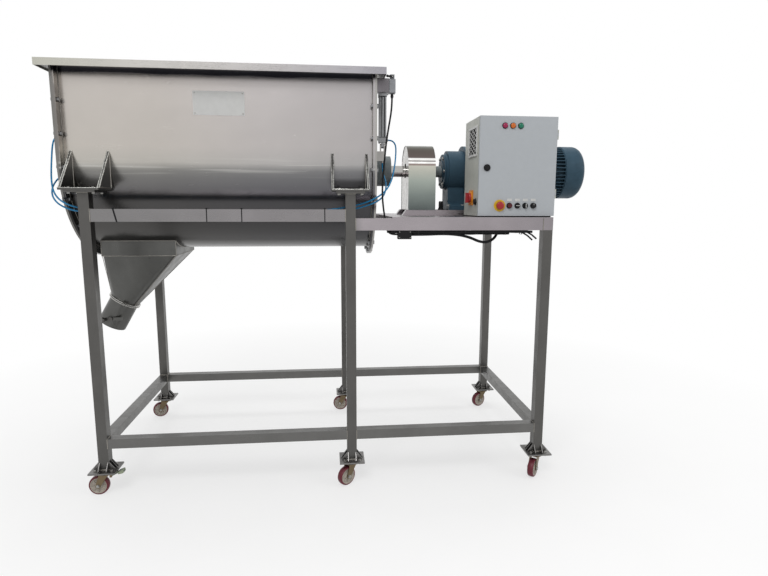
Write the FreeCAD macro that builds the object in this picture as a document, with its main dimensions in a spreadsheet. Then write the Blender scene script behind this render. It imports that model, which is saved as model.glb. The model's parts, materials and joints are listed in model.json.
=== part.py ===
import FreeCAD, Part
import Sketcher
import math
import os

# Horizontal ribbon mixer for powder, on a welded base with casters.
# X runs along the trough towards the motor, Y away from the control panel's side, Z up.
# The origin lies on the floor, midway between front and rear legs and 31.5 mm left of the middle legs.

V = FreeCAD.Vector
DOC = FreeCAD.newDocument("PowderMixer")

SIZES = {
    # Welded base
    "leg_side": 50,
    "tube_wall": 3,
    "frame_width": 1054,
    "trough_bay": 1250,
    "drive_bay": 1010,
    "foot_plate_top": 138,
    "foot_plate_side": 130,
    "foot_plate_thick": 8,
    "foot_rib_reach": 34,
    "foot_rib_height": 45,
    "lower_rail_top": 300,
    "upper_rail_top": 1443,
    "beam_height": 60,
    "deck_top": 1406,
    "deck_plate_thick": 6,
    "deck_gap": 70,
    "cross_beam_pitch": 330,
    "leg_top": 1530,
    "top_plate_thick": 10,
    "top_plate_width": 140,
    # Brackets that carry the trough
    "bracket_width": 180,
    "bracket_overhang": 70,
    "bracket_thick": 10,
    "bracket_root": 44,
    "gusset_thick": 8,
    "gusset_height": 182,
    "gusset_inset": 10,
    # Trough
    "trough_radius": 435,
    "trough_wall": 3,
    "trough_length": 1504,
    "axis_height": 1660,
    "flange_reach": 42,
    "flange_thick": 10,
    "end_plate_thick": 10,
    "rim_height": 2100,
    "rim_half_width": 525,
    "rim_thick": 6,
    "end_rim_reach": 35,
    "flange_bolt_pitch": 155,
    "flange_bolt_size": 12,
    "flange_bolt_drop": 20,
    "bolt_play": 0.5,
    # Lid
    "lid_rise": 19,
    "lid_sheet": 3,
    "lid_skirt": 33,
    "lid_half_width": 537,
    "lid_end_overhang": 40,
    "seal_width": 20,
    "seal_gap": 0.3,
    "leaf_gap": 6,
    "hinge_rise": 9,
    "knuckle_radius": 8,
    "hinge_pin_radius": 4,
    "hinge_length": 120,
    "hinge_pitch": 500,
    "hinge_strap": 60,
    "hinge_strap_thick": 4,
    "running_fit": 0.05,
    "side_play": 0.5,
    # Lid cylinders
    "cylinder_offset": 55,
    "cylinder_side": 182,
    "cylinder_base_drop": 315,
    "cylinder_eye_drop": 19,
    "cylinder_cap": 44,
    "cylinder_tube_radius": 16,
    "cylinder_bore_radius": 14,
    "cylinder_rod_radius": 6,
    "cylinder_lower_cap": 28,
    "cylinder_upper_cap": 32,
    "cylinder_top_drop": 41,
    "piston_thick": 12,
    "eye_radius": 12,
    "eye_thick": 14,
    "pivot_radius": 5,
    "base_block_gap": 29,
    "base_block_height": 53,
    "fitting_radius": 7,
    "fitting_length": 9,
    "valve_height": 22,
    "ear_thick": 6,
    "cap_clearance": 6,
    "rod_neck": 6,
    "pin_head": 4,
    "lug_width": 50,
    "lug_height": 27,
    # Discharge
    "collar_inset": 54,
    "collar_length": 388,
    "collar_width": 400,
    "collar_wall": 4,
    "collar_bottom": 1188,
    "spout_tilt": 30,
    "spout_drop": 273,
    "spout_shift": 160.5,
    "spout_radius": 77,
    "spout_wall": 3,
    "spout_length": 160,
    "ring_reach": 9,
    "ring_thick": 6,
    "chute_corner": 25,
    "damper_thick": 4,
    "damper_play": 2.5,
    "damper_shaft_radius": 7,
    "damper_setback": 110,
    "lever_length": 38,
    "knob_radius": 17,
    "knob_stem": 12,
    "knob_stem_radius": 5,
    "lever_thick": 4,
    "boss_reach": 10,
    "boss_wall": 5,
    "index_length": 51,
    # Agitator
    "shaft_radius": 32.5,
    "ribbon_gap": 7,
    "outer_ribbon_width": 60,
    "inner_ribbon_radius": 235,
    "inner_ribbon_width": 50,
    "ribbon_thick": 8,
    "ribbon_end_gap": 20,
    "ribbon_turns": 1.5,
    "arm_radius": 17,
    "arm_count": 7,
    "outer_phase": 0,
    "inner_phase": 90,
    "gland_radius": 62,
    "gland_length": 30,
    "shaft_play": 1,
    # Bearings, coupling and guard
    "bearing_flange_side": 222,
    "bearing_flange_thick": 22,
    "bearing_hub_radius": 86,
    "bearing_length": 117,
    "bearing_corner": 30,
    "shaft_stub": 6,
    "coupling_radius": 90,
    "coupling_half": 55,
    "coupling_gap": 18,
    "coupling_inset": 14,
    "output_depth": 40,
    "guard_start": 207,
    "guard_length": 156,
    "guard_half_width": 150,
    "guard_top": 1805,
    "guard_sheet": 2,
    "guard_rail_height": 31,
    "guard_rail_width": 50,
    "guard_rail_bevel": 22,
    "guard_foot": 20,
    "rail_lead": 34,
    "rail_spread": 140,
    # Gearmotor
    "gear_start": 434,
    "gear_length": 109,
    "gear_radius": 120,
    "gear_cover_thick": 16,
    "gear_flange_radius": 148,
    "gear_flange_thick": 16,
    "gear_cover_step": 14,
    "gear_neck_rise": 24,
    "gear_foot_height": 22,
    "gear_foot_width": 250,
    "gear_neck_width": 150,
    "motor_length": 700,
    "motor_neck": 26,
    "motor_core_radius": 128,
    "motor_fin_radius": 150,
    "motor_fin_thick": 4,
    "motor_fin_count": 44,
    "motor_shield": 30,
    "cover_overlap": 25,
    "cover_play": 0.3,
    "cover_eye_radius": 12,
    "cover_slot": 14,
    "cover_slot_start": 40,
    "cover_slot_end": 6,
    "cover_slot_count": 12,
    "rotor_depth": 60,
    "fan_gap": 12,
    "fan_depth": 60,
    "terminal_box_setback": 20,
    "fan_cover_length": 124,
    "fan_cover_sheet": 3,
    "fan_cover_round": 50,
    "rotor_shaft_radius": 19,
    "fan_radius": 130,
    "fan_blade_thick": 4,
    "fan_blade_count": 7,
    "terminal_box_length": 170,
    "terminal_box_width": 130,
    "terminal_box_height": 70,
    # Control panel
    "panel_start": 509,
    "panel_width": 400,
    "panel_height": 493,
    "panel_depth": 270,
    "panel_sheet": 3,
    "panel_foot_height": 6,
    "panel_setback": 15,
    "door_depth": 18,
    "door_gap": 3,
    "door_hinge_radius": 6,
    "door_hinge_part": 16,
    "door_pin_radius": 3,
    "panel_foot_inset": 20,
    "panel_foot_width": 40,
    "vent_inset": 26,
    "stem_radius": 8,
    "stem_play": 0.3,
    "stem_length": 12,
    "bezel_depth": 4,
    "lamp_rise": 7,
    "button_travel": 4,
    "button_depth": 7,
    "stop_radius": 20,
    "stop_plate_radius": 30,
    "stop_depth": 14,
    "knob_button_radius": 14,
    "wing_length": 24,
    "wing_depth": 10,
    "wing_thick": 7,
    "lock_depth": 10,
    "lock_stem_radius": 9,
    "lock_cam_length": 30,
    "switch_plate_side": 60,
    "switch_plate_thick": 3,
    "switch_stem_radius": 5,
    "switch_knob_radius": 22,
    "switch_knob_depth": 12,
    "plug_radius": 11,
    "plug_depth": 8,
    "plug_back": 40,
    "plug_drop": 21,
    "lamp_radius": 14,
    "lamp_bezel": 15,
    "lamp_height": 446,
    "lamp_first": 126,
    "lamp_pitch": 40.5,
    "button_height": 52,
    "button_radius": 15,
    "stop_place": 111,
    "push_place": 162,
    "selector_place": 204,
    "selector_pitch": 41,
    "knob_place": 287,
    "lock_place": 40,
    "lock_height": 240,
    "lock_radius": 17,
    "mount_plate_thick": 3,
    "gear_plate_inset": 25,
    "inverter_left": 45,
    "inverter_rise": 260,
    "inverter_width": 150,
    "inverter_height": 190,
    "inverter_depth": 140,
    "contactor_left": 230,
    "contactor_rise": 300,
    "contactor_pitch": 55,
    "contactor_width": 46,
    "contactor_height": 85,
    "contactor_depth": 80,
    "breaker_left": 60,
    "breaker_rise": 150,
    "breaker_width": 260,
    "breaker_height": 60,
    "breaker_depth": 70,
    "terminal_left": 45,
    "terminal_rise": 60,
    "terminal_width": 300,
    "terminal_height": 45,
    "terminal_depth": 50,
    "vent_width": 160,
    "vent_slots": 9,
    "vent_bottom": 309,
    "vent_height": 137,
    "main_switch_back": 122,
    "main_switch_height": 92,
    # Limit switch
    "switch_side": 452,
    "switch_base_width": 60,
    "switch_base_drop": 18,
    "switch_base_height": 66,
    "switch_base_depth": 32,
    "switch_width": 32,
    "switch_height": 68,
    "switch_depth": 34,
    "switch_head": 22,
    "switch_gland_radius": 8,
    "gland_drop": 22,
    "switch_body_drop": 2,
    "roller_radius": 6,
    "roller_gap": 4,
    "lever_half": 6,
    # Casters
    "wheel_radius": 50,
    "wheel_width": 32,
    "caster_trail": 38,
    "caster_plate_side": 100,
    "caster_plate_thick": 5,
    "race_radius": 34,
    "race_height": 12,
    "fork_thick": 4,
    "axle_radius": 5,
    "kingpin_radius": 8,
    "axle_boss": 13,
    "pedal_pin_back": 26,
    "pedal_pin_drop": 9,
    "pedal_pin_radius": 3,
    "pedal_sleeve": 6,
    "pedal_width": 30,
    "pedal_knee": 32,
    "pedal_knee_rise": 12,
    "pedal_reach": 58,
    "pedal_rise": 23,
    "pedal_thick": 4,
    "wheel_play": 2,
    "tread_thick": 9,
    "wheel_dish": 6,
    "hub_radius": 13,
    # Hoses and cables
    "hose_diameter": 8,
    "switch_cable_diameter": 9,
    "harness_diameter": 14,
    "valve_box_start": 100,
    "valve_box_length": 67,
    "valve_box_height": 44,
    "valve_box_setback": 17,
    "deck_gland_start": 638,
    "deck_gland_length": 14,
    "deck_gland_back": 55,
    "deck_gland_radius": 13,
    "overall_reach_left": 265,
    "overall_reach_right": 2702,
}


class Size:
    """A value that remembers the sheet expression it comes from."""

    def __init__(self, value, text):
        self.value = float(value)
        self.text = text

    def __add__(self, other):
        other = lift(other)
        return Size(self.value + other.value, f"({self.text} + {other.text})")

    def __radd__(self, other):
        return lift(other) + self

    def __sub__(self, other):
        other = lift(other)
        return Size(self.value - other.value, f"({self.text} - {other.text})")

    def __rsub__(self, other):
        return lift(other) - self

    def __mul__(self, other):
        other = lift(other)
        return Size(self.value * other.value, f"({self.text} * {other.text})")

    def __rmul__(self, other):
        return lift(other) * self

    def __truediv__(self, other):
        other = lift(other)
        return Size(self.value / other.value, f"({self.text} / {other.text})")

    def __neg__(self):
        return Size(-self.value, f"(0 - {self.text})")

    def __float__(self):
        return self.value


def lift(number):
    if isinstance(number, Size):
        return number
    return Size(number, f"{float(number):.9g}" if number >= 0 else f"(0 - {-float(number):.9g})")


class Sheet:
    """The spreadsheet of driving sizes; each alias reads as an attribute."""

    def __init__(self, sizes):
        self.page = DOC.addObject("Spreadsheet::Sheet", "Sizes")
        for row, (name, number) in enumerate(sizes.items(), start=1):
            self.page.set(f"A{row}", name)
            self.page.set(f"B{row}", str(number))
            self.page.setAlias(f"B{row}", name)
        DOC.recompute()

    def __getattr__(self, name):
        return Size(self.page.get(name), f"Sizes.{name}")


s = Sheet(SIZES)
NODES = []


def bind(thing, path, size):
    """Set a property and tie it to the sheet."""
    size = lift(size)
    if "." not in path and "[" not in path:
        whole = path == "Occurrences"
        setattr(thing, path, int(size.value) if whole else size.value)
    thing.setExpression(path, size.text)


def bind_place(thing, x, y, z, turn=None):
    """Place an object at a bound position, turned by a fixed rotation."""
    thing.Placement = FreeCAD.Placement(V(float(x), float(y), float(z)), turn or FreeCAD.Rotation())
    for axis, size in zip("xyz", (x, y, z)):
        bind(thing, f"Placement.Base.{axis}", size)


def node(thing, name):
    """Give a finished sub-part its own name and put it on the list to write."""
    thing.Label = name
    NODES.append(thing)
    return thing


TURN_TO = {
    "X": FreeCAD.Rotation(V(0, 1, 0), 90),
    "Y": FreeCAD.Rotation(V(1, 0, 0), -90),
    "Z": FreeCAD.Rotation(),
}


def box(x, y, z, length, width, height):
    """A block from its lowest corner."""
    block = DOC.addObject("Part::Box", "Block")
    bind(block, "Length", length)
    bind(block, "Width", width)
    bind(block, "Height", height)
    bind_place(block, x, y, z)
    return block


def rod(x, y, z, radius, length, axis="Z"):
    """A cylinder that starts at a point and runs along an axis."""
    bar = DOC.addObject("Part::Cylinder", "Round")
    bind(bar, "Radius", radius)
    bind(bar, "Height", length)
    bind_place(bar, x, y, z, TURN_TO[axis])
    return bar


def ball(x, y, z, radius):
    sphere = DOC.addObject("Part::Sphere", "Ball")
    bind(sphere, "Radius", radius)
    bind_place(sphere, x, y, z)
    return sphere


def cut(base, *tools):
    """Take one or more tools away from a base."""
    for tool in tools:
        result = DOC.addObject("Part::Cut", "Trimmed")
        result.Base = base
        result.Tool = tool
        base = result
    return base


def fuse(*pieces):
    result = DOC.addObject("Part::MultiFuse", "Joined")
    result.Shapes = list(pieces)
    result.Refine = True
    return result


def group(*pieces):
    """Separate solids that share one node."""
    result = DOC.addObject("Part::Compound", "Set")
    result.Links = list(pieces)
    return result


def copy_at(piece, x, y, z, turn=None):
    """Another copy of a piece, moved as a whole."""
    twin = DOC.addObject("Part::Compound", "Copy")
    twin.Links = [piece]
    bind_place(twin, x, y, z, turn)
    return twin


def tie(sketch, kind, geometry, corner, size):
    """Fix one coordinate of a sketch point to the sheet."""
    size = lift(size)
    index = sketch.addConstraint(sketcher_constraint(kind, geometry, corner, size.value))
    sketch.setExpression(f"Constraints[{index}]", size.text)


def sketcher_constraint(kind, geometry, corner, value):
    if kind == "Radius":
        return Sketcher.Constraint("Radius", geometry, value)
    return Sketcher.Constraint(kind, -1, 1, geometry, corner, value)


def joined(first, first_end, second, second_start):
    return Sketcher.Constraint("Coincident", first, first_end, second, second_start)


def draw_circle(sketch, centre, radius):
    curve = Part.Circle(V(float(centre[0]), float(centre[1]), 0), V(0, 0, 1), float(radius))
    index = sketch.addGeometry(curve, False)
    tie(sketch, "DistanceX", index, 3, centre[0])
    tie(sketch, "DistanceY", index, 3, centre[1])
    tie(sketch, "Radius", index, 0, radius)


def draw_outline(sketch, outline):
    """A closed outline. Each corner is (u, v), or (u, v, centre u, centre v, turn) after an arc."""
    ends = []
    for place, corner in enumerate(outline):
        start = V(float(outline[place - 1][0]), float(outline[place - 1][1]), 0)
        end = V(float(corner[0]), float(corner[1]), 0)
        if len(corner) == 2:
            index = sketch.addGeometry(Part.LineSegment(start, end), False)
            ends.append((index, 1, 2))
            continue
        middle = V(float(corner[2]), float(corner[3]), 0)
        first, last = (start, end) if corner[4] > 0 else (end, start)
        angles = [math.atan2(p.y - middle.y, p.x - middle.x) for p in (first, last)]
        if angles[1] <= angles[0]:
            angles[1] += 2 * math.pi
        whole = Part.Circle(middle, V(0, 0, 1), (start - middle).Length)
        index = sketch.addGeometry(Part.ArcOfCircle(whole, *angles), False)
        ends.append((index, 1, 2) if corner[4] > 0 else (index, 2, 1))
    for place, corner in enumerate(outline):
        index, begin, finish = ends[place]
        before, _, before_end = ends[place - 1]
        sketch.addConstraint(joined(before, before_end, index, begin))
        tie(sketch, "DistanceX", index, finish, corner[0])
        tie(sketch, "DistanceY", index, finish, corner[1])
        if len(corner) == 5:
            across = abs(float(corner[0]) - float(outline[place - 1][0]))
            along = abs(float(corner[1]) - float(outline[place - 1][1]))
            if across >= along:
                tie(sketch, "DistanceY", index, 3, corner[3])
            else:
                tie(sketch, "DistanceX", index, 3, corner[2])


def rectangle(u, v, width, height):
    return [(u, v), (u + width, v), (u + width, v + height), (u, v + height)]


def round_corners(u, v, width, height, radius):
    """A rectangle with rounded corners, counter-clockwise from its lower left side."""
    right, top = u + width, v + height
    return [
        (right - radius, v),
        (right, v + radius, right - radius, v + radius, 1),
        (right, top - radius),
        (right - radius, top, right - radius, top - radius, 1),
        (u + radius, top),
        (u, top - radius, u + radius, top - radius, 1),
        (u, v + radius),
        (u + radius, v, u + radius, v + radius, 1),
    ]


def circle(u, v, radius):
    return ("circle", (u, v), radius)


def plane_of(body, role):
    return next(f for f in body.Origin.OriginFeatures if f.Role == role)


def sketch_on(body, plane, outlines, offset=0):
    """A sketch on one of the body's own planes, moved along the plane's normal."""
    sketch = body.newObject("Sketcher::SketchObject", "Profile")
    sketch.AttachmentSupport = [(plane_of(body, f"{plane}_Plane"), "")]
    sketch.MapMode = "FlatFace"
    bind(sketch, "AttachmentOffset.Base.z", offset)
    for outline in outlines:
        if outline[0] == "circle":
            draw_circle(sketch, outline[1], outline[2])
        else:
            draw_outline(sketch, outline)
    return sketch


def pad_on(body, plane, outlines, start, length):
    """Pad outlines from start over length along the plane's axis: X, Y or Z upwards."""
    offset = -(lift(start) + length) if plane == "XZ" else start
    sketch = sketch_on(body, plane, outlines, offset)
    pad = body.newObject("PartDesign::Pad", "Pad")
    pad.Profile = (sketch, [""])
    bind(pad, "Length", length)
    sketch.Visibility = False
    return pad


def pocket_on(body, plane, outlines, start, length):
    """Cut outlines from start over length along the plane's axis."""
    offset = -lift(start) if plane == "XZ" else lift(start) + length
    sketch = sketch_on(body, plane, outlines, offset)
    pocket = body.newObject("PartDesign::Pocket", "Pocket")
    pocket.Profile = (sketch, [""])
    bind(pocket, "Length", length)
    return pocket


def prism(plane, outlines, start, length):
    body = DOC.addObject("PartDesign::Body", "Body")
    pad_on(body, plane, outlines, start, length)
    return body


def turned(outline, x, y, z, axis="X"):
    """A body turned about its own axis: the outline gives (along, radius)."""
    body = DOC.addObject("PartDesign::Body", "Turned")
    sketch = sketch_on(body, "XZ", [outline])
    turning = body.newObject("PartDesign::Revolution", "Revolution")
    turning.Profile = (sketch, [""])
    turning.ReferenceAxis = (sketch, ["H_Axis"])
    turning.Angle = 360
    turn = {"X": FreeCAD.Rotation(), "Y": FreeCAD.Rotation(V(0, 0, 1), 90), "Z": FreeCAD.Rotation(V(0, 1, 0), -90)}
    bind_place(body, x, y, z, turn[axis])
    return body


def shaped(shape, name):
    """A sub-part whose shape is worked out from the sheet's values."""
    thing = DOC.addObject("Part::Feature", "Form")
    thing.Shape = shape
    return node(thing, name)


# Places along the machine, all from the left legs' centre line.
left_leg = (s.overall_reach_left - s.overall_reach_right) / 2
middle_leg = left_leg + s.trough_bay
right_leg = middle_leg + s.drive_bay
leg_places = (left_leg, middle_leg, right_leg)
side = s.frame_width / 2
half_leg = s.leg_side / 2
trough_centre = left_leg + s.trough_bay / 2
inner_left = trough_centre - s.trough_length / 2
inner_right = trough_centre + s.trough_length / 2
outer_left = inner_left - s.end_plate_thick
outer_right = inner_right + s.end_plate_thick
shell_radius = s.trough_radius + s.trough_wall
flange_radius = shell_radius + s.flange_reach
outer_ribbon_radius = s.trough_radius - s.ribbon_gap
collar_left = inner_left + s.collar_inset
axis = s.axis_height
lid_top = s.rim_height + s.lid_rise
cylinder_base_height = s.rim_height - s.cylinder_base_drop
cylinder_eye_height = lid_top - s.cylinder_eye_drop
cylinder_top = lid_top - s.cylinder_top_drop
base_block_top = cylinder_base_height - s.base_block_gap
switch_base_top = s.rim_height - s.switch_base_drop


def tube(plane, u, v, start, length, height):
    """Square or flat tube, open at both ends."""
    outer = rectangle(u, v, s.leg_side, height)
    inner = rectangle(u + s.tube_wall, v + s.tube_wall, s.leg_side - 2 * s.tube_wall, height - 2 * s.tube_wall)
    return prism(plane, [outer, inner], start, length)


def leg(x, y, top):
    return tube("XY", x - half_leg, y - half_leg, s.foot_plate_top, top - s.foot_plate_top, s.leg_side)


def make_legs():
    tall = s.leg_top - s.top_plate_thick
    short = s.deck_top - s.deck_plate_thick
    legs = []
    for x, top in zip(leg_places, (tall, tall, short)):
        for y in (-side, side):
            legs.append(leg(x, y, top))
    node(group(*legs), "frame_legs")


def make_foot_plates():
    """Welded foot plates, their ribs and the casters' own plates below them."""
    pieces = []
    half = s.foot_plate_side / 2
    low = s.foot_plate_top - s.foot_plate_thick
    for x in leg_places:
        for y in (-side, side):
            plate = box(x - half, y - half, low, s.foot_plate_side, s.foot_plate_side, s.foot_plate_thick)
            for hand in (-1, 1):
                foot = x + hand * half_leg
                rib = prism("XZ", [[
                    (foot, s.foot_plate_top),
                    (foot + hand * s.foot_rib_reach, s.foot_plate_top),
                    (foot, s.foot_plate_top + s.foot_rib_height),
                ]], y - s.foot_plate_thick / 4, s.foot_plate_thick / 2)
                plate = fuse(plate, rib)
            pieces.append(plate)
            caster_half = s.caster_plate_side / 2
            pieces.append(fuse(
                box(x - caster_half, y - caster_half, low - s.caster_plate_thick,
                    s.caster_plate_side, s.caster_plate_side, s.caster_plate_thick),
                rod(x, y, low - s.caster_plate_thick - s.race_height - s.fork_thick - 4,
                    s.kingpin_radius, s.race_height + s.fork_thick + 4),
            ))
    node(group(*pieces), "foot_plates")


def make_lower_rails():
    low = s.lower_rail_top - s.leg_side
    rails = []
    for y in (-side, side):
        for start, bay in ((left_leg, s.trough_bay), (middle_leg, s.drive_bay)):
            rails.append(tube("YZ", y - half_leg, low, start + half_leg, bay - s.leg_side, s.leg_side))
    for x in (left_leg, right_leg):
        rails.append(tube("XZ", x - half_leg, low, half_leg - side, s.frame_width - s.leg_side, s.leg_side))
    node(group(*rails), "lower_rails")


def make_upper_frame():
    high = s.upper_rail_top - s.beam_height
    under = s.deck_top - s.deck_plate_thick - s.beam_height
    beams = []
    for y in (-side, side):
        beams.append(tube("YZ", y - half_leg, high, left_leg + half_leg, s.trough_bay - s.leg_side, s.beam_height))
        beams.append(tube("YZ", y - half_leg, under, middle_leg + half_leg, s.drive_bay - s.leg_side, s.beam_height))
    first = outer_right + s.deck_gap
    for x in (first, first + s.cross_beam_pitch, first + 2 * s.cross_beam_pitch, right_leg - half_leg):
        beams.append(tube("XZ", x, under, half_leg - side, s.frame_width - s.leg_side, s.beam_height))
    node(group(*beams), "upper_frame")


def outer_trough_form(grow=0):
    """The solid U that the shell's outer face follows."""
    radius = shell_radius + grow
    return prism("YZ", [[
        (radius, s.rim_height),
        (-radius, s.rim_height),
        (-radius, axis),
        (radius, axis, 0, axis, 1),
    ]], outer_left, s.trough_length + 2 * s.end_plate_thick)


def make_brackets():
    """Bolted plates with two gussets each, trimmed to the trough's wall."""
    brackets = []
    outer_edge = side + s.bracket_overhang
    tip = shell_radius - s.spout_wall
    root = s.trough_radius - s.bracket_root
    plate_top = s.leg_top + s.bracket_thick
    for x in (left_leg, middle_leg):
        for hand in (-1, 1):
            low_y = -outer_edge if hand < 0 else root
            width = outer_edge - root
            plate = box(x - s.bracket_width / 2, low_y, s.leg_top, s.bracket_width, width, s.bracket_thick)
            gussets = []
            for end in (x - s.bracket_width / 2, x + s.bracket_width / 2 - s.gusset_thick):
                gussets.append(prism("YZ", [[
                    (hand * (outer_edge - s.gusset_inset), plate_top),
                    (hand * tip, plate_top + s.gusset_height),
                    (hand * root, plate_top + s.gusset_height),
                    (hand * root, plate_top),
                ]], end, s.gusset_thick))
            brackets.append(cut(fuse(plate, *gussets), outer_trough_form()))
            half = s.top_plate_width / 2
            reach = side - shell_radius
            cap_width = s.bracket_overhang + reach - 12
            cap_y = -outer_edge + 6 if hand < 0 else outer_edge - 6 - cap_width
            brackets.append(box(x - half, cap_y, s.leg_top - s.top_plate_thick,
                                s.top_plate_width, cap_width, s.top_plate_thick))
    node(group(*brackets), "trough_brackets")


def make_shell():
    """Rolled U shell with its rim, the two end flanges and the discharge opening."""
    rim_low = s.rim_height - s.rim_thick
    body = prism("YZ", [[
        (s.rim_half_width, s.rim_height),
        (s.trough_radius, s.rim_height),
        (s.trough_radius, axis),
        (-s.trough_radius, axis, 0, axis, -1),
        (-s.trough_radius, s.rim_height),
        (-s.rim_half_width, s.rim_height),
        (-s.rim_half_width, rim_low),
        (-shell_radius, rim_low),
        (-shell_radius, axis),
        (shell_radius, axis, 0, axis, 1),
        (shell_radius, rim_low),
        (s.rim_half_width, rim_low),
    ]], inner_left, s.trough_length)
    middle = s.trough_radius + s.trough_wall / 2
    holes = [circle(y, z, s.flange_bolt_size / 2 + s.bolt_play) for y, z in flange_bolt_places()]
    for start in (inner_left, inner_right - s.flange_thick):
        pad_on(body, "YZ", [[
            (flange_radius, rim_low),
            (middle, rim_low),
            (middle, axis),
            (-middle, axis, 0, axis, -1),
            (-middle, rim_low),
            (-flange_radius, rim_low),
            (-flange_radius, axis),
            (flange_radius, axis, 0, axis, 1),
        ], *holes], start, s.flange_thick)
    opening = rectangle(
        collar_left + s.collar_wall, -s.collar_width / 2 + s.collar_wall,
        s.collar_length - 2 * s.collar_wall, s.collar_width - 2 * s.collar_wall)
    pocket_on(body, "XY", [opening], axis - shell_radius - 10, shell_radius + 10)
    node(body, "trough_shell")


def make_lid():
    """Two shallow pans: the rear one is fixed, the front one opens on the centre hinge."""
    length = s.trough_length + 2 * (s.end_plate_thick + s.lid_end_overhang)
    start = trough_centre - length / 2
    low = lid_top - s.lid_skirt
    width = s.lid_half_width - s.leaf_gap / 2
    hinge_z = lid_top + s.hinge_rise
    for name, hand in (("lid_rear", 1), ("lid_front", -1)):
        y = s.leaf_gap / 2 if hand > 0 else -s.lid_half_width
        pan = box(start, y, low, length, width, s.lid_skirt)
        hollow_y = y - 1 if hand > 0 else y + s.lid_sheet
        hollow = box(start + s.lid_sheet, hollow_y, low - 1, length - 2 * s.lid_sheet,
                     width - s.lid_sheet + 1, s.lid_skirt - s.lid_sheet + 1)
        leaf = cut(pan, hollow)
        parts = [leaf]
        for place in (-1, 0, 1):
            middle = trough_centre + place * s.hinge_pitch
            part = s.hinge_length / 3
            strap_y = s.leaf_gap * 1.5 if hand > 0 else -s.leaf_gap * 1.5 - s.hinge_strap
            parts.append(box(middle - s.hinge_length / 2, strap_y, lid_top,
                             s.hinge_length, s.hinge_strap, s.hinge_strap_thick))
            if hand > 0:
                spans = [(middle - s.hinge_length / 2, part - s.side_play),
                         (middle + part / 2 + s.side_play, part - s.side_play)]
            else:
                spans = [(middle - part / 2, part)]
            for begin, span in spans:
                knuckle = rod(begin, 0, hinge_z, s.knuckle_radius, span, "X")
                web_y = 0 if hand > 0 else -s.leaf_gap * 1.5
                web = box(begin, web_y, lid_top, span, s.leaf_gap * 1.5, s.hinge_strap_thick)
                both = fuse(knuckle, web)
                bore = s.hinge_pin_radius + (s.running_fit if hand < 0 else 0)
                parts.append(cut(both, rod(begin - 1, 0, hinge_z, bore, span + 2, "X")))
            if hand > 0:
                parts.append(rod(middle - s.hinge_length / 2, 0, hinge_z, s.hinge_pin_radius, s.hinge_length, "X"))
        if hand < 0:
            lug = s.cylinder_offset - s.lid_end_overhang - s.eye_thick / 2 - s.side_play
            for begin in (start - lug, start + length):
                parts.append(box(begin, -s.cylinder_side - s.lug_width / 2, cylinder_eye_height - s.eye_radius,
                                 lug, s.lug_width, s.lug_height))
        node(fuse(*parts), name)


def make_rim_seal():
    """Rubber strip all round the rim under the lid."""
    low = s.rim_height
    high = lid_top - s.lid_sheet - s.seal_gap
    half_x = s.trough_length / 2 + s.end_plate_thick + s.end_rim_reach / 2
    half_y = (s.trough_radius + s.rim_half_width) / 2
    outer = rectangle(trough_centre - half_x, -half_y, 2 * half_x, 2 * half_y)
    inner = rectangle(trough_centre - half_x + s.seal_width, -half_y + s.seal_width,
                      2 * half_x - 2 * s.seal_width, 2 * half_y - 2 * s.seal_width)
    node(prism("XY", [outer, inner], low, high - low), "lid_seal")


def cylinder_line(hand):
    """The X place of a lid cylinder's centre line at either end."""
    return outer_right + s.cylinder_offset if hand > 0 else outer_left - s.cylinder_offset


def upright_eye(middle_x, thick, y, z, radius, low):
    """A flat eye across X, round at the top and square at the foot."""
    return prism("YZ", [[
        (y - radius, low),
        (y + radius, low),
        (y + radius, z),
        (y - radius, z, y, z, 1),
    ]], middle_x - thick / 2, thick)


def hanging_eye(middle_x, thick, y, z, radius, high):
    """The same eye hanging from above."""
    return prism("YZ", [[
        (y + radius, high),
        (y - radius, high),
        (y - radius, z),
        (y + radius, z, y, z, 1),
    ]], middle_x - thick / 2, thick)


def cylinder_base(hand):
    """Welded block on the end plate with two ears and the lower pivot pin."""
    middle = cylinder_line(hand)
    ear = s.eye_thick / 2 + s.side_play + s.ear_thick / 2
    reach = s.cylinder_offset + ear + s.ear_thick / 2
    start = outer_right if hand > 0 else outer_left - reach
    y = -s.cylinder_side
    block = box(start, y - s.eye_radius - 6, base_block_top - s.base_block_height,
                reach, 2 * s.eye_radius + 12, s.base_block_height)
    ears = [upright_eye(middle + end * ear, s.ear_thick, y, cylinder_base_height, s.eye_radius, base_block_top)
            for end in (-1, 1)]
    span = 2 * ear + s.ear_thick
    pin = rod(middle - span / 2, y, cylinder_base_height, s.pivot_radius, span, "X")
    port_low = base_block_top - s.base_block_height - s.fitting_length
    port = rod(middle, y, port_low, s.fitting_radius, s.fitting_length)
    return fuse(block, pin, port, *ears)


def make_end_plates():
    """Bolted end plates with the shaft hole, an outward top flange and the cylinder's block."""
    rim_low = s.rim_height - s.rim_thick
    for name, inner, hand in (("end_plate_left", outer_left, -1), ("end_plate_right", inner_right, 1)):
        holes = [circle(y, z, s.flange_bolt_size / 2 + s.bolt_play) for y, z in flange_bolt_places()]
        body = prism("YZ", [[
            (flange_radius, s.rim_height),
            (-flange_radius, s.rim_height),
            (-flange_radius, axis),
            (flange_radius, axis, 0, axis, 1),
        ], circle(0, axis, s.shaft_radius + s.shaft_play), *holes], inner, s.end_plate_thick)
        lip = inner - s.end_rim_reach if hand < 0 else inner
        pad_on(body, "XY", [rectangle(
            lip, -s.rim_half_width, s.end_plate_thick + s.end_rim_reach, 2 * s.rim_half_width)],
            rim_low, s.rim_thick)
        node(fuse(body, cylinder_base(hand)), name)


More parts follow.
